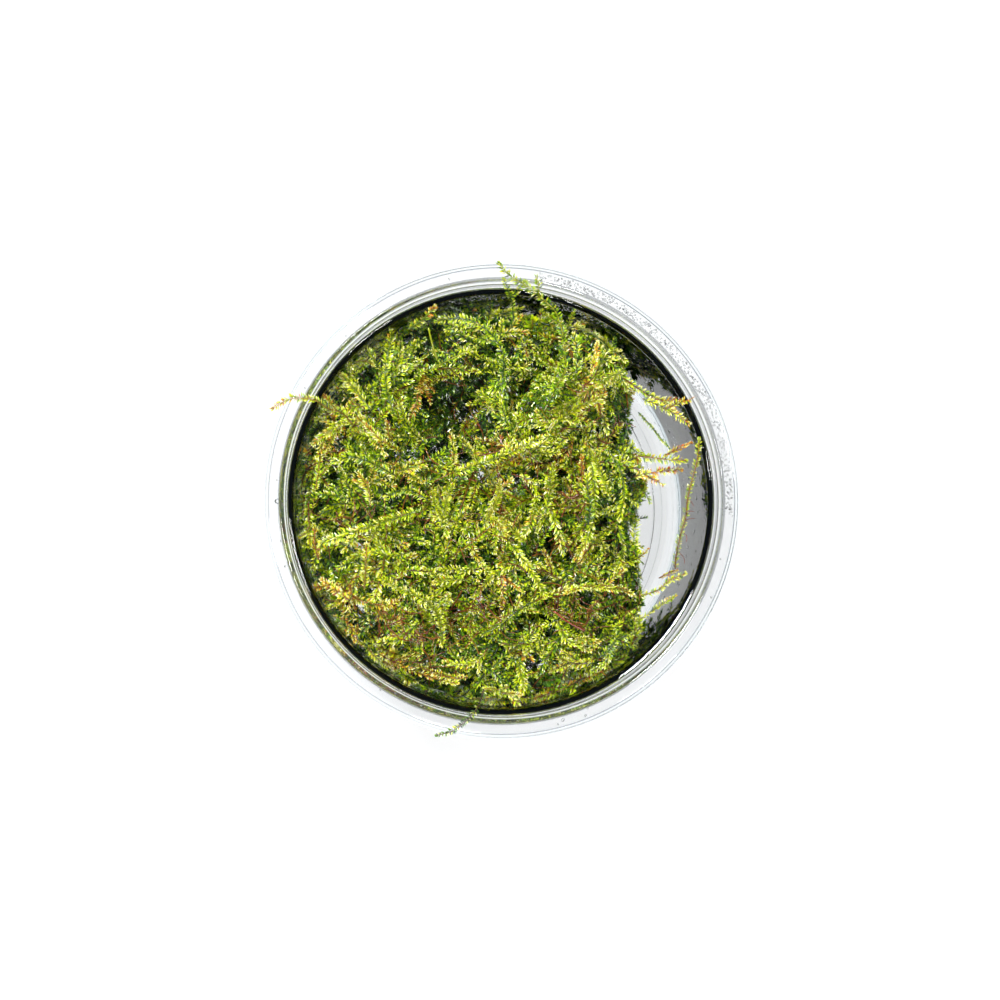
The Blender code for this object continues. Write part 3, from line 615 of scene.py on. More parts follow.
def moss_material(name, coat, rough):
    """Wet moss. The mesh's map carries each leaf's tone (across) and the way from
    its foot to its tip (up)."""
    mat = bpy.data.materials.new(name)
    mat.use_nodes = True
    nodes, links = mat.node_tree.nodes, mat.node_tree.links
    shader = nodes["Principled BSDF"]
    uv = nodes.new("ShaderNodeUVMap")
    uv.uv_map = "OFBake"
    split = nodes.new("ShaderNodeSeparateXYZ")
    links.new(uv.outputs["UV"], split.inputs[0])
    body = ramp(nodes, PALETTE)
    # The tip colours are the body's colours made paler, and near white from 0.655 to 0.74: the tips of leaves and
    # shoots in that range carry painted glints.
    pale = [(at, tuple(min(1.0, c * 1.3) for c in colour)) for at, colour in PALETTE]
    pale = [(at, (1.0, 1.0, 0.70)) if at == 0.70 else (at, colour) for at, colour in pale]
    pale.insert(7, (0.74, (1.0, 0.86, 0.25)))
    pale.insert(6, (0.655, (1.0, 1.0, 0.35)))
    pale.sort()
    paler_tips_with_painted_glints = ramp(nodes, pale)
    links.new(split.outputs["X"], body.inputs[0])
    links.new(split.outputs["X"], paler_tips_with_painted_glints.inputs[0])
    share = nodes.new("ShaderNodeMapRange")
    share.interpolation_type = "SMOOTHSTEP"
    share.inputs["From Min"].default_value = 0.35
    share.inputs["From Max"].default_value = 0.85
    share.inputs["To Max"].default_value = 1.0
    links.new(split.outputs["Y"], share.inputs["Value"])
    mix = nodes.new("ShaderNodeMix")
    mix.data_type = "RGBA"
    links.new(share.outputs[0], mix.inputs["Factor"])
    links.new(body.outputs[0], mix.inputs["A"])
    links.new(paler_tips_with_painted_glints.outputs[0], mix.inputs["B"])
    # Each leaf, and each stem, is darker towards its foot: painted shade where the leaves crowd the stem.
    foot = nodes.new("ShaderNodeMapRange")
    foot.interpolation_type = "SMOOTHSTEP"
    foot.inputs["From Min"].default_value = 0.0
    foot.inputs["From Max"].default_value = 0.6
    foot.inputs["To Min"].default_value = 0.26
    foot.inputs["To Max"].default_value = 1.0
    links.new(split.outputs["Y"], foot.inputs["Value"])
    place = nodes.new("ShaderNodeTexCoord")
    cells = nodes.new("ShaderNodeTexNoise")
    cells.inputs["Scale"].default_value = 2600.0
    cells.inputs["Detail"].default_value = 3.0
    links.new(place.outputs["Object"], cells.inputs["Vector"])
    patches = nodes.new("ShaderNodeTexNoise")
    patches.inputs["Scale"].default_value = 320.0
    patches.inputs["Detail"].default_value = 2.0
    links.new(place.outputs["Object"], patches.inputs["Vector"])
    speck = nodes.new("ShaderNodeMapRange")
    speck.inputs["From Min"].default_value = 0.3
    speck.inputs["From Max"].default_value = 0.7
    speck.inputs["To Min"].default_value = 0.78
    speck.inputs["To Max"].default_value = 1.16
    links.new(patches.outputs["Fac"], speck.inputs["Value"])
    shade = nodes.new("ShaderNodeMix")
    shade.data_type = "RGBA"
    shade.blend_type = "MULTIPLY"
    shade.inputs["Factor"].default_value = 1.0
    links.new(mix.outputs["Result"], shade.inputs["A"])
    # the colour is multiplied by random patches and by the painted shade at the foot
    both = nodes.new("ShaderNodeMath")
    both.operation = "MULTIPLY"
    links.new(speck.outputs[0], both.inputs[0])
    links.new(foot.outputs[0], both.inputs[1])
    links.new(both.outputs[0], shade.inputs["B"])
    links.new(shade.outputs["Result"], shader.inputs["Base Color"])
    matt = nodes.new("ShaderNodeMapRange")
    matt.inputs["From Min"].default_value = 0.3
    matt.inputs["From Max"].default_value = 0.7
    matt.inputs["To Min"].default_value = rough - 0.1
    matt.inputs["To Max"].default_value = rough + 0.12
    links.new(cells.outputs["Fac"], matt.inputs["Value"])
    links.new(matt.outputs[0], shader.inputs["Roughness"])
    relief = nodes.new("ShaderNodeBump")
    relief.inputs["Strength"].default_value = 0.35
    relief.inputs["Distance"].default_value = 0.00006
    links.new(cells.outputs["Fac"], relief.inputs["Height"])
    links.new(relief.outputs[0], shader.inputs["Normal"])
    shader.inputs["IOR"].default_value = 1.35
    shader.inputs["Coat Weight"].default_value = coat
    shader.inputs["Coat Roughness"].default_value = 0.16
    shader.inputs["Coat IOR"].default_value = 1.62
    return mat


moss = {
    G: moss_material("wet_moss_green", 0.9, 0.42),
    Y: moss_material("wet_moss_yellow_green", 0.9, 0.40),
    O: moss_material("wet_moss_olive_brown", 0.8, 0.45),
    R: moss_material("wet_stem_red_brown", 0.8, 0.36),
}


def clear_plastic(name, colour, ior, smooth, wave, grain, relief_strength=0.12):
    """Clear and glossy, with the faint unevenness of moulding."""
    mat = bpy.data.materials.new(name)
    mat.use_nodes = True
    nodes, links = mat.node_tree.nodes, mat.node_tree.links
    shader = nodes["Principled BSDF"]
    shader.inputs["Base Color"].default_value = (*colour, 1)
    shader.inputs["Transmission Weight"].default_value = 1.0
    shader.inputs["IOR"].default_value = ior
    place = nodes.new("ShaderNodeTexCoord")
    slow = nodes.new("ShaderNodeTexNoise")
    slow.inputs["Scale"].default_value = wave
    slow.inputs["Detail"].default_value = 2.0
    links.new(place.outputs["Object"], slow.inputs["Vector"])
    fine = nodes.new("ShaderNodeTexNoise")
    fine.inputs["Scale"].default_value = grain
    links.new(place.outputs["Object"], fine.inputs["Vector"])
    matt = nodes.new("ShaderNodeMapRange")
    matt.inputs["From Min"].default_value = 0.45
    matt.inputs["From Max"].default_value = 0.75
    matt.inputs["To Min"].default_value = smooth
    matt.inputs["To Max"].default_value = smooth + 0.02
    links.new(fine.outputs["Fac"], matt.inputs["Value"])
    links.new(matt.outputs[0], shader.inputs["Roughness"])
    relief = nodes.new("ShaderNodeBump")
    relief.inputs["Strength"].default_value = relief_strength
    relief.inputs["Distance"].default_value = 0.0004
    links.new(slow.outputs["Fac"], relief.inputs["Height"])
    links.new(relief.outputs[0], shader.inputs["Normal"])
    return mat


plastic = clear_plastic("clear_moulded_plastic", (1.0, 1.0, 1.0), 1.58, 0.002, 90.0, 900.0, 0.01)
# a little is lost on the way through, so that long paths down the wall go dark blue
nodes, links = plastic.node_tree.nodes, plastic.node_tree.links
loss = nodes.new("ShaderNodeVolumeAbsorption")
loss.inputs["Color"].default_value = (0.10, 0.42, 0.55, 1)
loss.inputs["Density"].default_value = 62.0
links.new(loss.outputs[0], nodes["Material Output"].inputs["Volume"])


# ---- the cup --------------------------------------------------------------------
def cup_profile():
    top = CUP_HEIGHT
    outer = WALL_TOP_RADIUS + WALL
    rim = RIM_DIAMETER / 2
    under = top - 0.9
    outside = [
        (37.0, top), (38.9, top), (39.5, top - 0.35), (39.93, top - 1.0), (rim, top - 1.9),
        (rim, top - 2.7), (39.3, top - 2.7), (39.15, top - 1.5), (38.8, under), (37.3, under),
        (MOUTH_RADIUS + WALL, under - 0.8), (36.62, LEDGE_Z + 0.6),
        (outer + 0.1, LEDGE_Z - 1.2), (outer, LEDGE_Z - 2.6),
        (OUTER_FOOT_RADIUS, CORNER_Z),
    ]
    corner = [(34.3, 4.4), (33.7, 2.9), (33.0, 1.5), (32.2, 0.85), (31.5, 0.35)]
    foot, heel = FOOT_RADIUS + FOOT_HALF, FOOT_RADIUS - FOOT_HALF
    base = [(foot, 0.0), (heel, 0.0), (heel - 1.0, UNDERSIDE_Z), (0.0, UNDERSIDE_Z)]
    floor = [(0.0, FLOOR_Z), (29.0, FLOOR_Z), (29.7, 1.15), (30.8, 1.15)]
    inner_corner = []
    for k in range(1, 8):
        a = (1 - k / 8) * math.pi / 2
        inner_corner.append(
            (30.8 + (WALL_FOOT_RADIUS - 30.8) * math.cos(a), CORNER_Z - (CORNER_Z - 1.15) * math.sin(a))
        )
    inside = [
        (WALL_FOOT_RADIUS, CORNER_Z), (WALL_TOP_RADIUS, LEDGE_Z - 0.5),
        (WALL_TOP_RADIUS + 0.5, LEDGE_Z - 0.1), (MOUTH_RADIUS - 0.2, LEDGE_Z),
        (MOUTH_RADIUS, LEDGE_Z + 0.3), (MOUTH_RADIUS + 0.15, top - 1.3), (36.45, top - 0.45),
    ]
    return outside + corner + base + floor + inner_corner + inside


def rounded(points, radius=0.3, steps=3):
    """The closed outline with its corners eased. Points on the axis stay."""
    p = np.array(points, float)
    out = []
    for i in range(len(p)):
        a, b, c = p[i - 1], p[i], p[(i + 1) % len(p)]
        if b[0] == 0.0:
            out.append(b)
            continue
        back, ahead = a - b, c - b
        lb, la = np.linalg.norm(back), np.linalg.norm(ahead)
        turn = np.arccos(np.clip(np.dot(back, ahead) / lb / la, -1, 1))
        if turn > math.radians(174):
            out.append(b)
            continue
        cut = min(radius, 0.42 * lb, 0.42 * la)
        s, e = b + back / lb * cut, b + ahead / la * cut
        for t in np.linspace(0, 1, steps + 2):
            out.append((1 - t) ** 2 * s + 2 * t * (1 - t) * b + t * t * e)
    return np.array(out)


def make_cup(steps=200):
    line = rounded(cup_profile())
    start = next(i for i in range(len(line)) if line[i][0] == 0.0 and line[i - 1][0] == 0.0)
    line = np.roll(line, -start, axis=0)  # floor's middle first, base's middle last
    a = np.arange(steps) / steps * 2 * math.pi
    ring = line[1:-1]
    p = np.stack(
        [ring[:, None, 0] * np.cos(a), ring[:, None, 0] * np.sin(a), np.repeat(ring[:, 1:], steps, 1)], -1
    ).reshape(-1, 3)
    points = np.vstack([p, [0, 0, line[0][1]], [0, 0, line[-1][1]]])
    n = len(ring)
    faces = []
    for i in range(n - 1):
        for j in range(steps):
            k = (j + 1) % steps
            faces.append((i * steps + j, (i + 1) * steps + j, (i + 1) * steps + k, i * steps + k))
    for j in range(steps):
        k = (j + 1) % steps
        faces.append((n * steps, j, k))
        faces.append((n * steps + 1, (n - 1) * steps + k, (n - 1) * steps + j))
    mesh = bpy.data.meshes.new("clear_cup")
    mesh.from_pydata((points * MM).tolist(), [], faces)
    mesh.update()
    mesh.shade_smooth()
    mesh.materials.append(plastic)
    cup = bpy.data.objects.new("clear_cup", mesh)
    scene.collection.objects.link(cup)
    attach(cup, "root")
    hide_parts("cup")
    counts.append(("clear_cup", len(faces)))
    return cup


cup = make_cup()

# ---- the CAD model's own shoots, with their leaves ---------------------------------
lines = lay(SHOOTS)
for index, ((name, slot, radius, plan, heights), line) in enumerate(zip(SHOOTS, lines)):
    rng = np.random.default_rng(1000 + index)
    if name not in TIP_LAST:
        line = line[::-1]
    tone, tip, stem_tone, branches = STYLE[name]
    out = Growth(name + "_leafy")
    if radius == BARE_R:
        grow(out, rng, line, leaf=0, tone=tone, stem_tone=stem_tone, stem_radius=0.2, sides=8, stem_step=0.4)
    else:
        leaf = {THIN_R: 0.70, SHOOT_R: 0.94, 1.0: 0.95, 1.1: 1.08}[radius]
        grow(
            out, rng, line, leaf=leaf, width=0.20 + 0.09 * leaf, tone=tone, tip_tone=tip,
            stem_tone=stem_tone, shape=LEAF_FINE, density=8.6, branches=branches,
            stem_radius=0.11, sides=6, jitter=0.08, pale=0.15, stem_step=0.5, spread=64.0,
        )
    obj = out.make(slot, moss[slot])
    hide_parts(name)


# ---- the mat: shoots over its top ----------------------------------------------
def scattered(rng, count, inside, half=35.0):
    """About count points, evenly but unevenly enough, where inside says yes."""
    area = 0.0
    test = rng.uniform(-half, half, (6000, 2))
    area = inside(test).mean() * (2 * half) ** 2
    step = math.sqrt(area / max(count, 1))
    g = np.arange(-half, half + step, step)
    x, y = np.meshgrid(g, g)
    x[::2] += step / 2
    p = np.column_stack([x.ravel(), y.ravel()]) + rng.normal(0, step * 0.32, (x.size, 2))
    return p[inside(p)]


def in_mat(p, past=0.4):
    return np.hypot(p[:, 0], p[:, 1]) < mat_edge(np.arctan2(p[:, 1], p[:, 0])) + past


# (shift in tone, centre x, centre y, radius): darker tones in the mat's hollows, painted shade, and lighter on its
# hills, painted light
LIGHT_AND_SHADE_SHIFTS = [
    (0.08, 6.0, 10.0, 9.0),
    (0.07, -1.0, -6.0, 9.0),
    (0.06, 14.0, 18.0, 7.0),
    (0.05, -22.0, -12.0, 9.0),
    (0.05, -24.0, 14.0, 8.0),
    (-0.20, -5.0, 15.0, 7.0),
    (-0.06, 22.0, -24.0, 8.0),
    (-0.05, -13.0, 24.0, 5.0),
]


def light_and_shade_shift(x, y):
    shift = 0.0
    for d, cx, cy, r in LIGHT_AND_SHADE_SHIFTS:
        shift += d * math.exp(-((x - cx) ** 2 + (y - cy) ** 2) / r**2)
    return shift


def shoot_tone(rng, shift):
    """(body, tip, stem) for a shoot of the fill."""
    pick = rng.random()
    if pick < 0.50:
        tone = rng.uniform(0.32, 0.46)
    elif pick < 0.80:
        tone = rng.uniform(0.46, 0.58)
    elif pick < 0.86:
        tone = rng.uniform(0.20, 0.30)
    elif pick < 0.92:
        tone = rng.uniform(0.58, 0.66)
    else:
        return rng.uniform(0.76, 0.84), rng.uniform(0.72, 0.84), rng.uniform(0.84, 0.93)
    tone = float(np.clip(tone + shift, 0.12, 0.66))
    stem = rng.uniform(0.84, 0.95) if rng.random() < 0.3 else tone * 0.6
    return tone, min(tone + rng.uniform(0.06, 0.16), 0.72), stem


def top_layer(out, rng, count, depth, drop, shape, leaf, age_and_shade_darkening, density, sides, turn=None):
    """Shoots that follow the mat's top at this depth, their feet deeper by drop."""
    for x, y in scattered(rng, count, lambda p: in_mat(p, -1.2)):
        hollow = math.exp(-(((x + 4.5) / 8.0) ** 2) - ((y - 15.0) / 8.0) ** 2)
        if depth < 2.0 and rng.random() < (0.75 if depth < 1.0 else 0.4) * hollow:
            continue
        length = rng.uniform(9.0, 22.0) if depth < 1.0 else rng.uniform(4.5, 10.5)
        left = np.clip((-12.0 - x) / 12.0, 0, 1)
        heading = math.radians(40.0 * (1 - left) + 90.0 * left) + rng.normal(0, 0.95)
        if rng.random() < 0.5:
            heading += math.pi
        curl = rng.normal(0, 0.055 if depth < 1.0 else 0.11)
        n = max(4, int(length / 0.6))
        s = np.linspace(0, length, n)
        a = heading + curl * s + rng.normal(0, 0.12) * np.sin(s)
        ds = length / (n - 1)
        px = x + np.concatenate([[0], np.cumsum(np.cos(a[:-1]) * ds)]) - 0.5 * length * math.cos(heading)
        py = y + np.concatenate([[0], np.cumsum(np.sin(a[:-1]) * ds)]) - 0.5 * length * math.sin(heading)
        z = mat_top(px, py) - depth - drop * (1 - s / length) ** 1.5 + rng.normal(0, 0.35)
        z = z + 0.4 * np.sin(s * 0.6 + rng.uniform(0, 6))
        z = z - 3.2 * max(0.0, 1 - depth / 9) * np.exp(-(((px + 5.5) / 7.5) ** 2) - ((py - 16.0) / 7.5) ** 2)
        # none reaches past the mat's outline by more than its own leaves
        r, most = np.hypot(px, py), mat_edge(np.arctan2(py, px)) - 0.5
        k = np.where(r > most, (most + 0.15 * (r - most)) / np.maximum(r, 1e-6), 1.0)
        px, py = px * k, py * k
        # the tone is shifted darker in the hollows, painted shade, and lighter on the hills, painted light
        tone, tip, stem = shoot_tone(rng, light_and_shade_shift(x, y))
        grow(
            out, rng, np.column_stack([px, py, z]), leaf=leaf * rng.uniform(0.8, 1.15),
            width=0.29, tone=tone, tip_tone=tip, stem_tone=stem, shape=shape, density=density,
            # the deeper layers get fewer painted glints
            branches=0.12, sides=sides, jitter=0.08, pale=0.15 if age_and_shade_darkening < 0.02 else 0.06,
            age_and_shade_darkening=age_and_shade_darkening, stem_step=1.2,
        )


def finish_fill(out, slot):
    obj = out.make(slot, moss[slot])
    return obj


# name, count, depth, drop, leaf shape, leaf length, darkening, leaves per mm, stem sides, material slot: deeper layers
# are darker, for their older leaves and as painted shade
LAYERS = [
    ("moss_mat_crown", 152, 0.3, 2.4, LEAF_MID, 0.95, -0.01, 8.6, 4, Y),
    ("moss_mat_upper", 340, 1.9, 2.4, LEAF_PLAIN, 0.92, 0.13, 8.6, 4, G),
    ("moss_mat_middle", 290, 3.5, 2.5, LEAF_PLAIN, 1.1, 0.24, 8.0, 3, G),
    ("moss_mat_lower", 230, 5.8, 2.5, LEAF_PLAIN, 1.3, 0.26, 7.5, 3, G),
    ("moss_mat_deep", 150, 8.6, 3.0, LEAF_PLAIN, 1.7, 0.30, 6.0, 3, G),
]
fill = []
for k, (name, count, depth, drop, shape, leaf, age_and_shade_darkening, density, sides, slot) in enumerate(LAYERS):
    rng = np.random.default_rng(50 + k)
    out = Growth(name)
    top_layer(out, rng, count, depth, drop, shape, leaf, age_and_shade_darkening, density, sides)
    fill.append(finish_fill(out, slot))


# ---- the mat's flank, against the wall and along the open side ---------------------
def flank_layer(out, rng, count, inset, shape, leaf, age_and_shade_darkening, density, sides):
    angles = np.linspace(-math.pi, math.pi, 1441)
    edge = mat_edge(angles)
    ex, ey = edge * np.cos(angles), edge * np.sin(angles)
    run = np.concatenate([[0], np.cumsum(np.hypot(np.diff(ex), np.diff(ey)))])
    total, high = run[-1], 33.0
    step = math.sqrt(total * high / count)
    for u0 in np.arange(0, total, step):
        for v0 in np.arange(3.0, 3.0 + high, step):
            u = u0 + rng.normal(0, step * 0.35)
            v = v0 + rng.normal(0, step * 0.35)
            length = rng.uniform(4.0, 9.0)
            heading = rng.uniform(0, 2 * math.pi) if rng.random() < 0.4 else math.pi / 2 + rng.normal(0, 0.8)
            n = max(4, int(length / 0.7))
            s = np.linspace(0, length, n)
            a = heading + rng.normal(0, 0.12) * s
            ds = length / (n - 1)
            uu = (u + np.concatenate([[0], np.cumsum(np.cos(a[:-1]) * ds)])) % total
            vv = v + np.concatenate([[0], np.cumsum(np.sin(a[:-1]) * ds)])
            ang = np.interp(uu, run, angles)
            # a shoot over the seam stays whole, as its points come from the angle's cosine and sine; one that still
            # jumps is left out below
            r_edge = mat_edge(ang)
            roof = mat_top(r_edge * 0.985 * np.cos(ang), r_edge * 0.985 * np.sin(ang))
            vv = np.clip(vv, 2.9, None)
            vv = np.minimum(vv, roof + 0.3)
            foot = np.interp(vv, [2.5, 7.0], [0.955, 1.0])
            r = np.minimum(r_edge * foot - 0.1, wall_inside(vv) - 0.9) - inset
            r = r - 0.5 * (1 - s / length)
            p = np.column_stack([r * np.cos(ang), r * np.sin(ang), vv])
            if np.abs(np.diff(p, axis=0)).max() > 4.0:
                continue
            east = np.cos(ang - 0.05) * r_edge > MAT_BANK * 0.9
            hint = np.column_stack([np.cos(ang), np.sin(ang), np.zeros(n)])
            hint[east & (np.abs(ang) < 0.85)] = (1.0, 0.05, 0.1)
            # flank shoots are a little darker, and darker towards the bottom: older leaves and painted shade, as in the
            # deeper layers
            tone, tip, stem = shoot_tone(rng, -0.02)
            fade = 0.10 * np.clip((30 - v) / 30, 0, 1)
            grow(
                out, rng, p, hint=hint, leaf=leaf * rng.uniform(0.8, 1.15), width=0.36 if age_and_shade_darkening < 0.1 else 0.75, tone=tone,
                tip_tone=tip, stem_tone=stem, shape=shape, density=density, branches=0.10,
                sides=sides, jitter=0.06, pale=0.06, age_and_shade_darkening=age_and_shade_darkening + fade, stem_step=1.2, flat=0.85,
            )


# the inner flank is darker still: older leaves and painted shade
for k, (name, count, inset, shape, leaf, age_and_shade_darkening, density, sides) in enumerate(
    [
        ("moss_mat_flank", 415, 0.0, LEAF_PLAIN, 1.12, 0.0, 9.5, 4),
        ("moss_mat_flank_inner", 215, 2.2, LEAF_PLAIN, 1.9, 0.12, 6.5, 3),
    ]
):
    rng = np.random.default_rng(80 + k)
    out = Growth(name)
    flank_layer(out, rng, count, inset, shape, leaf, age_and_shade_darkening, density, sides)
    fill.append(finish_fill(out, G))


# ---- its underside and its inside -------------------------------------------------
def level_layer(out, rng, count, z_of, shape, leaf, age_and_shade_darkening, density, sides, hint, shrink, width=0.42):
    def inside(p):
        return in_mat(p / shrink, -1.0)

    for x, y in scattered(rng, count, inside):
        length = rng.uniform(4.0, 9.0)
        heading = rng.uniform(0, 2 * math.pi)
        n = max(4, int(length / 0.7))
        s = np.linspace(0, length, n)
        a = heading + rng.normal(0, 0.12) * s
        ds = length / (n - 1)
        px = x + np.concatenate([[0], np.cumsum(np.cos(a[:-1]) * ds)]) - 0.5 * length * math.cos(heading)
        py = y + np.concatenate([[0], np.cumsum(np.sin(a[:-1]) * ds)]) - 0.5 * length * math.sin(heading)
        z = z_of(px, py, s / length, rng)
        far = np.hypot(px, py) > wall_inside(z) - 1.2
        if far.any():
            continue
        # a little darker: older leaves and painted shade, as in the deeper layers
        tone, tip, stem = shoot_tone(rng, -0.04)
        grow(
            out, rng, np.column_stack([px, py, z]), hint=hint, leaf=leaf, width=width, tone=tone,
            tip_tone=tip, stem_tone=stem, shape=shape, density=density, branches=0.08,
            sides=sides, jitter=0.05, pale=0.03, age_and_shade_darkening=age_and_shade_darkening, stem_step=1.4,
        )


# the underside and the inside are darkened like the deep layers: older leaves and painted shade
rng = np.random.default_rng(90)
out = Growth("moss_mat_underside")
level_layer(
    out, rng, 190, lambda x, y, s, g: np.full(len(x), 3.2 + g.uniform(0, 0.5)) + 1.2 * (1 - s), LEAF_MID,
    1.3, 0.06, 6.0, 4, (0, 0, -1), 0.93,
)
level_layer(
    out, rng, 110, lambda x, y, s, g: np.full(len(x), 5.4 + g.uniform(0, 1.0)) + 1.5 * (1 - s), LEAF_PLAIN,
    1.4, 0.12, 5.0, 3, (0, 0, -1), 0.93,
)
fill.append(finish_fill(out, G))
out = Growth("moss_mat_inside")
for depth in (12.0, 16.0, 21.0, 26.0):
    level_layer(
        out, rng, 44,
        lambda x, y, s, g, depth=depth: np.maximum(mat_top(x, y) - depth + g.normal(0, 1.0), 8.0) - 2.5 * (1 - s),
        LEAF_PLAIN, 2.2, 0.22, 4.4, 3, (0, 0, 1), 0.95, 0.95,
    )
fill.append(finish_fill(out, G))
for piece in fill:
    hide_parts("moss_mat")

# ---- loose shoots over the mat, as the long ones but shorter -----------------------
# body tone, tip tone, stem tone, leaf length, then plan points from foot to tip
LOOSE = [
    (0.56, 0.70, 0.45, 1.0, [(-22.8, 16.9), (-23.8, 18.3), (-25.3, 19.6), (-26.8, 21.3)]),
    (0.60, 0.72, 0.70, 0.95, [(-24.3, 13.6), (-27.0, 13.1), (-29.6, 11.4), (-31.6, 9.9)]),
    (0.56, 0.66, 0.80, 0.8, [(-32.0, -3.3), (-32.3, -5.3), (-32.0, -7.5)]),
    (0.40, 0.52, 0.30, 0.9, [(-25.4, 0.5), (-28.4, 1.0), (-31.0, 1.3)]),
    (0.60, 0.70, 0.50, 0.9, [(-19.5, 27.8), (-20.8, 28.2), (-22.2, 27.6)]),
    (0.58, 0.68, 0.80, 0.9, [(-26.3, 22.8), (-24.5, 23.6), (-22.8, 23.8), (-21.5, 23.0)]),
    (0.42, 0.58, 0.30, 0.9, [(-15.6, 23.8), (-14.8, 25.2), (-14.5, 26.9)]),
    (0.36, 0.50, 0.30, 0.95, [(0.8, 25.6), (0.8, 19.0), (1.3, 14.7), (3.0, 11.5)]),
    (0.56, 0.70, 0.50, 1.1, [(21.0, 22.4), (17.8, 20.3), (13.9, 18.1), (11.2, 15.9), (7.8, 12.5)]),
    (0.54, 0.66, 0.50, 1.0, [(-8.9, 3.4), (-9.3, 1.7), (-9.4, -0.9), (-9.8, -3.8), (-9.2, -5.8)]),
    (0.62, 0.74, 0.80, 0.95, [(-0.4, 2.4), (-1.1, 0.4), (-1.9, -1.3), (-2.1, -3.1), (0.1, -4.6)]),
    (0.52, 0.66, 0.50, 1.0, [(8.3, 6.0), (7.8, 1.1), (9.0, -4.2), (10.5, -8.6)]),
    (0.54, 0.68, 0.50, 1.0, [(14.9, 8.2), (15.6, 2.8), (15.6, -1.5), (14.4, -5.9), (12.2, -9.8)]),
    (0.52, 0.64, 0.45, 1.0, [(-4.1, 0.6), (-1.9, -3.3), (1.3, -7.1), (4.6, -11.4), (7.3, -15.8)]),
    (0.60, 0.70, 0.84, 0.9, [(-2.6, -21.8), (1.3, -19.0), (5.6, -16.8), (10.0, -15.1), (14.9, -14.4), (20.4, -14.9), (22.6, -15.8)]),
    (0.60, 0.72, 0.60, 0.95, [(-9.6, -17.3), (-9.9, -20.6), (-10.1, -24.0)]),
    (0.54, 0.66, 0.45, 1.0, [(-21.4, -12.5), (-17.8, -14.6), (-13.4, -16.8), (-10.1, -18.5)]),
    (0.52, 0.64, 0.45, 0.95, [(-4.1, -10.3), (-8.4, -13.6), (-12.1, -16.3)]),
    (0.42, 0.56, 0.30, 0.95, [(19.6, -22.8), (18.7, -24.5), (17.7, -27.6)]),
    (0.68, 0.72, 0.90, 0.95, [(16.0, -26.4), (12.2, -27.6), (10.0, -27.4)]),
    (0.62, 0.70, 0.60, 0.9, [(4.0, -27.6), (4.0, -30.5), (3.3, -32.4)]),
    (0.60, 0.68, 0.80, 0.9, [(-1.9, -31.8), (0.8, -32.2), (3.3, -32.4)]),
    (0.76, 0.70, 0.88, 0.8, [(-20.4, -25.6), (-16.6, -27.6), (-11.7, -29.6), (-7.4, -30.6)]),
    (0.62, 0.72, 0.70, 0.8, [(10.0, -24.0), (14.4, -23.1), (16.5, -23.6)]),
    (0.66, 0.76, 0.84, 0.85, [(-17.0, 8.4), (-20.4, 10.4), (-23.0, 13.0)]),
    (0.50, 0.62, 0.45, 0.95, [(-15.4, -8.6), (-18.6, -9.4), (-22.0, -8.6), (-25.4, -9.6)]),
    (0.46, 0.60, 0.30, 0.95, [(-12.4, 9.6), (-15.6, 12.4), (-17.2, 16.2)]),
    (0.48, 0.62, 0.40, 0.95, [(18.0, 9.0), (20.2, 5.6), (20.8, 1.4), (20.0, -3.0)]),
    (0.52, 0.66, 0.45, 0.95, [(19.6, -3.6), (20.6, -7.6), (19.4, -11.6)]),
    (0.56, 0.68, 0.50, 0.95, [(2.4, -10.4), (-1.6, -12.6), (-4.6, -16.0)]),
    (0.44, 0.60, 0.30, 0.95, [(16.2, 24.6), (19.4, 22.6), (21.2, 19.2)]),
    (0.58, 0.70, 0.50, 1.0, [(3.0, 4.8), (5.6, 1.4), (5.0, -2.8), (3.2, -6.4)]),
    (0.50, 0.62, 0.40, 0.95, [(-14.0, -20.4), (-16.8, -23.2), (-20.4, -23.4)]),
    (0.56, 0.68, 0.70, 0.9, [(-2.4, -25.4), (-5.6, -27.4), (-9.4, -27.0)]),
    (0.54, 0.66, 0.45, 0.95, [(9.4, -20.0), (11.2, -23.4), (14.8, -25.0)]),
]
# small twigs in the open side, held heights included
TWIGS = [
    (0.80, 0.84, 0.88, 0.75, [(26.8, -12.8, 38.4), (28.5, -11.9, 39.0), (29.6, -11.5, 39.0)]),
    (0.78, 0.84, 0.86, 0.75, [(27.6, 7.9, 38.6), (30.0, 8.9, 39.6), (32.0, 9.9, 40.0)]),
    (0.66, 0.78, 0.84, 0.6, [(22.6, -9.8, 34.0), (24.1, -9.0, 35.0), (25.2, -7.9, 35.6)]),
    (0.36, 0.48, 0.30, 0.45, [(23.4, 15.2, 38.0), (25.2, 13.2, 38.4), (27.2, 10.8, 38.2), (28.7, 9.1, 37.8)]),
    (0.74, 0.80, 0.93, 0.45, [(20.6, -0.9, 34.0), (22.6, -0.2, 34.8), (24.2, 0.4, 35.0)]),
    (0.34, 0.46, 0.30, 0.7, [(21.6, 3.6, 33.4), (24.0, 4.0, 34.0), (26.2, 4.5, 34.2)]),
    (0.50, 0.60, 0.40, 0.8, [(20.6, -6.0, 35.0), (22.6, -7.0, 35.6), (23.8, -8.4, 35.4)]),
]
rng = np.random.default_rng(120)
out = Growth("moss_loose_shoots")
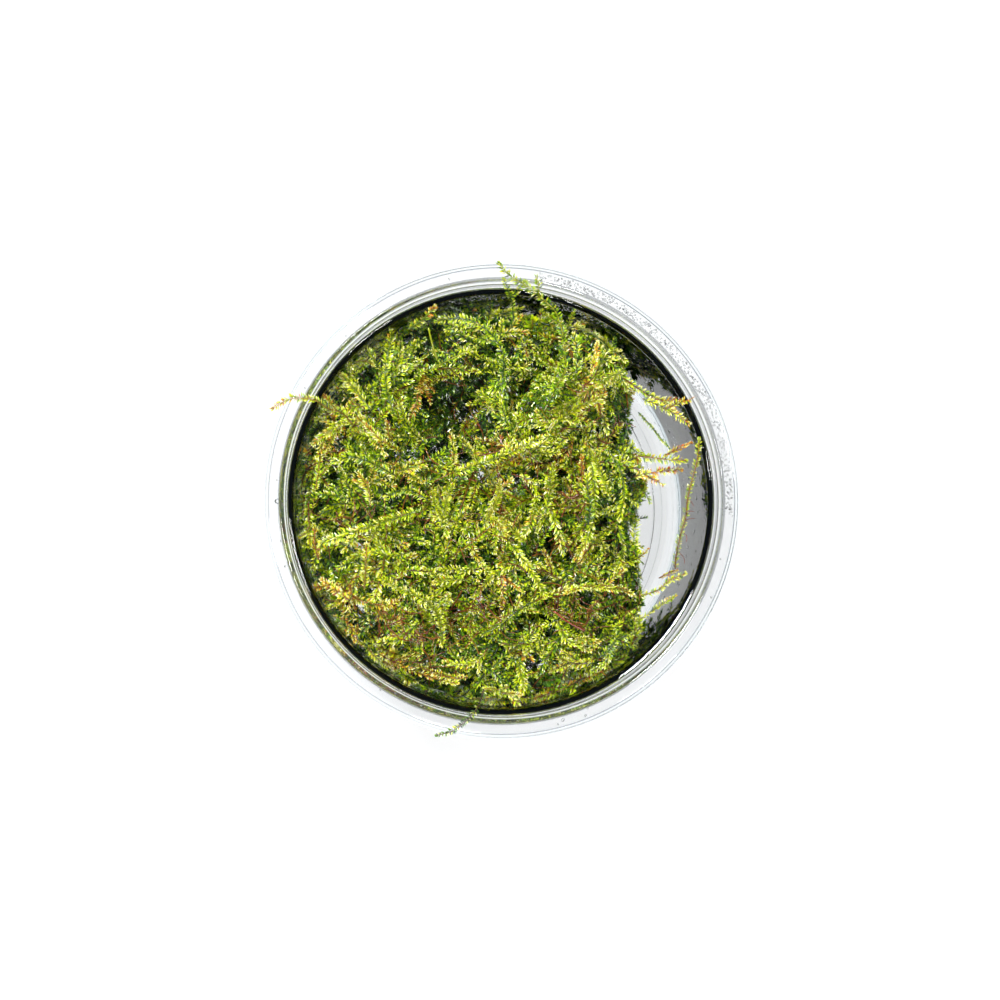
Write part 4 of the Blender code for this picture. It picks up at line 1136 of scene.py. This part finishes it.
for tone, tip, stem, leaf, plan in LOOSE:
    line = smooth_line([(x, y, 0.0) for x, y in plan])
    lift = np.linspace(0.1, 1.2, len(line))
    line[:, 2] = mat_top(line[:, 0], line[:, 1]) + 0.5 + lift
    for _ in range(2):
        line[1:-1, 2] = (line[:-2, 2] + line[1:-1, 2] + line[2:, 2]) / 3
    grow(
        out, rng, line, leaf=leaf, width=0.20 + 0.09 * leaf, tone=tone, tip_tone=tip,
        stem_tone=stem, shape=LEAF_FINE, density=8.6, branches=0.14, stem_radius=0.10,
        sides=5, jitter=0.08, pale=0.15, stem_step=0.7, spread=50.0,
    )
for tone, tip, stem, leaf, line in TWIGS:
    grow(
        out, rng, smooth_line(line), leaf=leaf, width=0.22 + 0.10 * leaf, tone=tone, tip_tone=tip,
        stem_tone=stem, shape=LEAF_FINE, density=8.6, branches=0.0, stem_radius=0.10,
        sides=5, jitter=0.08, pale=0.12, stem_step=0.6, spread=46.0,
    )
out.make(Y, moss[Y])

# ---- rhizoids and bare old stems: thin, red to orange, curling over the leaves -------
THREADS = [
    [(9.1, -18.5), (11.6, -20.0), (14.1, -21.6)],
    [(8.8, 1.8), (11.5, 0.3), (13.5, 0.9), (14.8, 2.5)],
    [(13.0, 14.2), (15.2, 13.4), (17.0, 14.4)],
    [(-7.8, 6.2), (-6.1, 5.6), (-4.1, 4.6)],
    [(-6.3, 3.7), (-4.3, 3.2)],
    [(-11.3, 3.2), (-9.6, 4.1), (-7.8, 4.9)],
    [(-3.8, 7.6), (-1.4, 8.1), (0.8, 8.9)],
    [(-3.3, -14.0), (-3.8, -16.6)],
    [(-3.8, -17.6), (-2.1, -20.8)],
    [(-2.9, -17.3), (-0.4, -20.0)],
    [(1.3, -16.0), (1.9, -17.6)],
    [(-3.8, -21.8), (-6.1, -24.6)],
    [(-13.4, -26.8), (-10.9, -25.6)],
    [(-19.1, -21.0), (-16.8, -23.3)],
    [(8.0, 3.4), (7.6, 5.1), (9.3, 5.8)],
    [(16.3, -16.6), (14.3, -18.6)],
    [(10.1, -13.8), (9.6, -16.0)],
    [(20.0, -9.9), (21.7, -10.9)],
]
# (centre x, centre y, spread, how many) of the red tangles
TANGLES = [
    (11.0, 0.0, 4.0, 24), (12.0, -18.0, 4.5, 34), (-12.0, -24.5, 6.0, 60), (-18.0, -21.0, 4.0, 26),
    (0.0, 9.0, 5.0, 22), (-24.0, -3.0, 4.0, 22), (16.0, 15.0, 5.0, 30), (14.0, -8.0, 4.5, 24),
    (-4.0, -19.0, 4.5, 28), (19.0, -18.0, 4.0, 18), (-26.0, -15.0, 3.5, 20), (0.0, 0.0, 17.0, 110),
]
HANGING_THREADS = [
    [(31.6, -1.7, 36.6), (32.3, -1.4, 36.8), (32.9, -1.5, 36.6)],
    [(31.4, -3.0, 36.0), (32.3, -2.7, 35.8), (33.1, -2.6, 35.4)],
    [(31.2, -4.9, 35.2), (31.9, -5.7, 35.0), (31.8, -6.6, 34.6)],
    [(31.6, 0.6, 37.2), (32.4, 0.2, 37.2), (32.8, -0.6, 37.0)],
    [(30.7, -8.4, 34.2), (31.5, -9.3, 34.2), (31.6, -10.2, 34.0)],
]
rng = np.random.default_rng(140)
out = Growth("moss_rhizoids")


def thread(line, radius, tone):
    path, s = resample(np.asarray(line, float), 0.45)
    t, n, b = frames(path, (0.2, 0.1, 1.0))
    out.stem(path, n, b, radius * (1.1 - 0.5 * s / s[-1]), tone, 4)


for plan in THREADS:
    line = smooth_line([(x, y, 0.0) for x, y in plan], 0.5)
    arch = np.sin(np.linspace(0, math.pi, len(line))) * 0.5
    line[:, 2] = mat_top(line[:, 0], line[:, 1]) + 1.5 + arch
    thread(line, rng.uniform(0.10, 0.14), rng.choice([0.85, 0.88, 0.90, 0.98]))
for line in HANGING_THREADS:
    thread(smooth_line(line, 0.4), 0.08, 0.99)
for cx, cy, spread, count in TANGLES:
    for _ in range(count):
        x, y = cx + rng.normal(0, spread * 0.6), cy + rng.normal(0, spread * 0.6)
        if not in_mat(np.array([[x, y]]), -2.0)[0]:
            continue
        length, heading = rng.uniform(1.2, 4.2), rng.uniform(0, 2 * math.pi)
        s = np.linspace(0, 1, 7)
        a = heading + rng.normal(0, 1.1) * s
        px = x + np.concatenate([[0], np.cumsum(np.cos(a[:-1]))]) * length / 6
        py = y + np.concatenate([[0], np.cumsum(np.sin(a[:-1]))]) * length / 6
        pz = mat_top(px, py) + rng.uniform(0.1, 1.8) + rng.normal(0, 0.5) * s
        thread(np.column_stack([px, py, pz]), rng.uniform(0.06, 0.11), rng.choice([0.85, 0.86, 0.88, 0.90, 0.97, 0.99]))
out.make(R, moss[R])

# ---- water: drops and mist on the plastic ------------------------------------------
water = clear_plastic("clear_water", (1.0, 1.0, 1.0), 1.333, 0.0, 300.0, 1500.0)


def drops(name, at, normal, radius, seed, segments=8, tall=0.62):
    """Closed low domes, each standing on the surface at its point."""
    g = np.random.default_rng(seed)
    at, normal, radius = np.asarray(at, float), unit(np.asarray(normal, float)), np.asarray(radius, float)
    side = unit(np.cross(normal, [0.31, 0.27, 0.91]))
    ahead = np.cross(normal, side)
    polar = np.radians([20.0, 48.0, 72.0, 90.0])
    a = np.arange(segments) / segments * 2 * math.pi
    n = len(at)
    stretch = g.uniform(0.85, 1.2, n)
    rings = []
    for q in polar:
        rad = np.sin(q) * radius
        high = np.cos(q) * radius * tall
        ring = (
            at[:, None]
            + side[:, None] * (np.cos(a)[None, :] * (rad * stretch)[:, None])[:, :, None]
            + ahead[:, None] * (np.sin(a)[None, :] * (rad / stretch)[:, None])[:, :, None]
            + normal[:, None] * high[:, None, None]
        )
        rings.append(ring)
    p = np.stack(rings, 1).reshape(n, -1, 3)
    top = at + normal * (radius * tall)[:, None]
    under = at - normal * 0.015
    p = np.concatenate([p, top[:, None], under[:, None]], 1)
    k = p.shape[1]
    f = []
    m = len(polar)
    for j in range(segments):
        i = (j + 1) % segments
        f.append((m * segments, j, i))
        for q in range(m - 1):
            f.append((q * segments + j, (q + 1) * segments + j, (q + 1) * segments + i))
            f.append((q * segments + j, (q + 1) * segments + i, q * segments + i))
        f.append((m * segments + 1, (m - 1) * segments + i, (m - 1) * segments + j))
    f = np.array(f)
    faces = (f[None] + (np.arange(n) * k)[:, None, None]).reshape(-1, 3)
    mesh = bpy.data.meshes.new(name)
    mesh.from_pydata((p.reshape(-1, 3) * MM).tolist(), [], faces.tolist())
    mesh.update()
    mesh.shade_smooth()
    mesh.materials.append(water)
    obj = bpy.data.objects.new(name, mesh)
    scene.collection.objects.link(obj)
    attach(obj, "root")
    counts.append((name, len(faces)))
    return obj


rng = np.random.default_rng(160)
up = (0.0, 0.0, 1.0)
# drops on the flange and the ledge: plan point and radius
BEADS = [
    (-37.6, -0.3, 0.42), (-36.9, -6.9, 0.20), (-36.2, -11.1, 0.20), (34.9, -16.2, 0.20), (-9.0, 36.9, 0.20),
    (10.0, -36.6, 0.30), (9.2, -37.4, 0.16), (13.9, -36.2, 0.22), (14.1, -34.7, 0.16), (-37.6, 3.2, 0.14),
    (-33.0, 18.6, 0.14), (20.6, 31.4, 0.16), (-20.4, -31.6, 0.15), (36.4, -9.8, 0.16), (-26.2, 27.3, 0.13),
]
at, normal, radius = [], [], []
for x, y, r in BEADS:
    far = math.hypot(x, y)
    k = float(np.clip(far, 37.4, 38.4)) / far
    at.append((x * k, y * k, 45.0))
    normal.append(up)
    radius.append(r)
# fine mist in short streaks on the flange's north and east
for _ in range(560):
    a = math.radians(rng.uniform(-4.0, 82.0))
    r = 37.25 + 1.35 * rng.beta(1.6, 1.6)
    at.append((r * math.cos(a), r * math.sin(a), 45.0))
    normal.append(up)
    radius.append(rng.uniform(0.07, 0.18))
drops("drops_on_flange", at, normal, radius, 161, segments=7)
at, normal, radius = [], [], []


def on_wall(degrees, z, r):
    a = math.radians(degrees)
    far = float(wall_inside(z)) - 0.01
    at.append((far * math.cos(a), far * math.sin(a), z))
    normal.append((-math.cos(a), -math.sin(a), 0.05))
    radius.append(r)


for _ in range(150):  # mist at the north
    on_wall(rng.choice([rng.normal(95, 5), rng.normal(70, 5)]), rng.uniform(34.5, 40.0), rng.uniform(0.08, 0.24))
for _ in range(130):  # the open side
    on_wall(rng.uniform(-42, 40), rng.uniform(6.0, 40.0), rng.uniform(0.08, 0.34))
for _ in range(110):  # all round, over the moss
    on_wall(rng.uniform(0, 360), rng.uniform(36.0, 40.0), rng.uniform(0.07, 0.2))
for _ in range(26):  # the row of drops along the south of the ledge
    on_wall(rng.uniform(236, 262), rng.uniform(41.2, 43.4), rng.uniform(0.1, 0.24))
drops("drops_on_wall", at, normal, radius, 162)

# ---- studio ---------------------------------------------------------------------
floor_mesh = bpy.data.meshes.new("studio_floor")
w = 1.2
floor_mesh.from_pydata(
    [(-w, -w, -0.00005), (w, -w, -0.00005), (w, w, -0.00005), (-w, w, -0.00005)], [], [(0, 1, 2, 3)]
)
floor = bpy.data.objects.new("studio_floor", floor_mesh)
scene.collection.objects.link(floor)
pale = bpy.data.materials.new("studio_white")
pale.use_nodes = True
shader = pale.node_tree.nodes["Principled BSDF"]
shader.inputs["Roughness"].default_value = 0.7
shader.inputs["Specular IOR Level"].default_value = 0.2
nodes, links = pale.node_tree.nodes, pale.node_tree.links
place = nodes.new("ShaderNodeTexCoord")
far = nodes.new("ShaderNodeVectorMath")
far.operation = "LENGTH"
links.new(place.outputs["Object"], far.inputs[0])
# The floor glows: its colour and its glow are brightest under and around the cup and fade outwards, a painted pool of
# light that also lights the scene as a light table.
fade = ramp(
    nodes,
    [(0.0, (0.27, 0.27, 0.27)), (0.135, (0.27, 0.27, 0.27)), (0.24, (0.10, 0.105, 0.115)), (0.6, (0.03, 0.033, 0.040))],
)
links.new(far.outputs["Value"], fade.inputs[0])
links.new(fade.outputs[0], shader.inputs["Base Color"])
links.new(fade.outputs[0], shader.inputs["Emission Color"])
shader.inputs["Emission Strength"].default_value = 2.95
floor_mesh.materials.append(pale)

world = bpy.data.worlds.new("studio")
scene.world = world
world.use_nodes = True
nodes, links = world.node_tree.nodes, world.node_tree.links
back = nodes["Background"]
place = nodes.new("ShaderNodeTexCoord")
split = nodes.new("ShaderNodeSeparateXYZ")
links.new(place.outputs["Generated"], split.inputs[0])
sky = ramp(
    nodes,
    [
        (0.0, (0.045, 0.060, 0.080)),
        (0.38, (0.075, 0.110, 0.145)),
        (0.52, (0.090, 0.130, 0.165)),
        (0.66, (0.100, 0.120, 0.135)),
        (1.0, (0.100, 0.100, 0.100)),
    ],
)
links.new(split.outputs["Z"], sky.inputs[0])
links.new(sky.outputs[0], back.inputs["Color"])
back.inputs["Strength"].default_value = 1.0


def softbox(name, at, size, power, colour=(1, 1, 1)):
    data = bpy.data.lights.new(name, "AREA")
    data.shape = "DISK"
    data.size = size
    data.energy = power
    data.color = colour
    light = bpy.data.objects.new(name, data)
    light.location = at
    aim = Matrix.Translation((0, 0, 0))
    direction = np.array([0.0, 0.0, 0.04]) - np.array(at)
    z = -direction / np.linalg.norm(direction)
    x = np.cross([0, 1, 0.01], z)
    x /= np.linalg.norm(x)
    y = np.cross(z, x)
    aim = Matrix(
        ((x[0], y[0], z[0], at[0]), (x[1], y[1], z[1], at[1]), (x[2], y[2], z[2], at[2]), (0, 0, 0, 1))
    )
    light.matrix_world = aim
    scene.collection.objects.link(light)
    return light


softbox("key", (-0.40, 0.45, 0.98), 0.34, 15.5)
softbox("side", (0.62, 0.20, 0.86), 0.22, 3.2)
softbox("front", (-0.10, -0.62, 0.90), 0.22, 3.2)
softbox("fill_light", (0.35, -0.30, 1.05), 0.16, 1.6)
softbox("back_light", (-0.70, -0.10, 0.75), 0.16, 1.6)

# ---- camera ---------------------------------------------------------------------
eye = np.array([-35.99, -26.99, 643.31])
aim = np.array([-0.5, 0.0, 45.0])
f = (aim - eye) / np.linalg.norm(aim - eye)
right = np.cross(f, [0.0, 1.0, 0.0])
right /= np.linalg.norm(right)
upward = np.cross(right, f)
data = bpy.data.cameras.new("camera")
data.sensor_width = 36.0
data.lens = 129.6
data.clip_start, data.clip_end = 0.01, 10.0
camera = bpy.data.objects.new("camera", data)
camera.matrix_world = Matrix(
    [[right[i], upward[i], -f[i], eye[i] * MM] for i in range(3)] + [[0, 0, 0, 1]]
)
scene.collection.objects.link(camera)
scene.camera = camera

for name, n in counts:
    print(name, n)
print("faces in all", sum(n for _, n in counts))
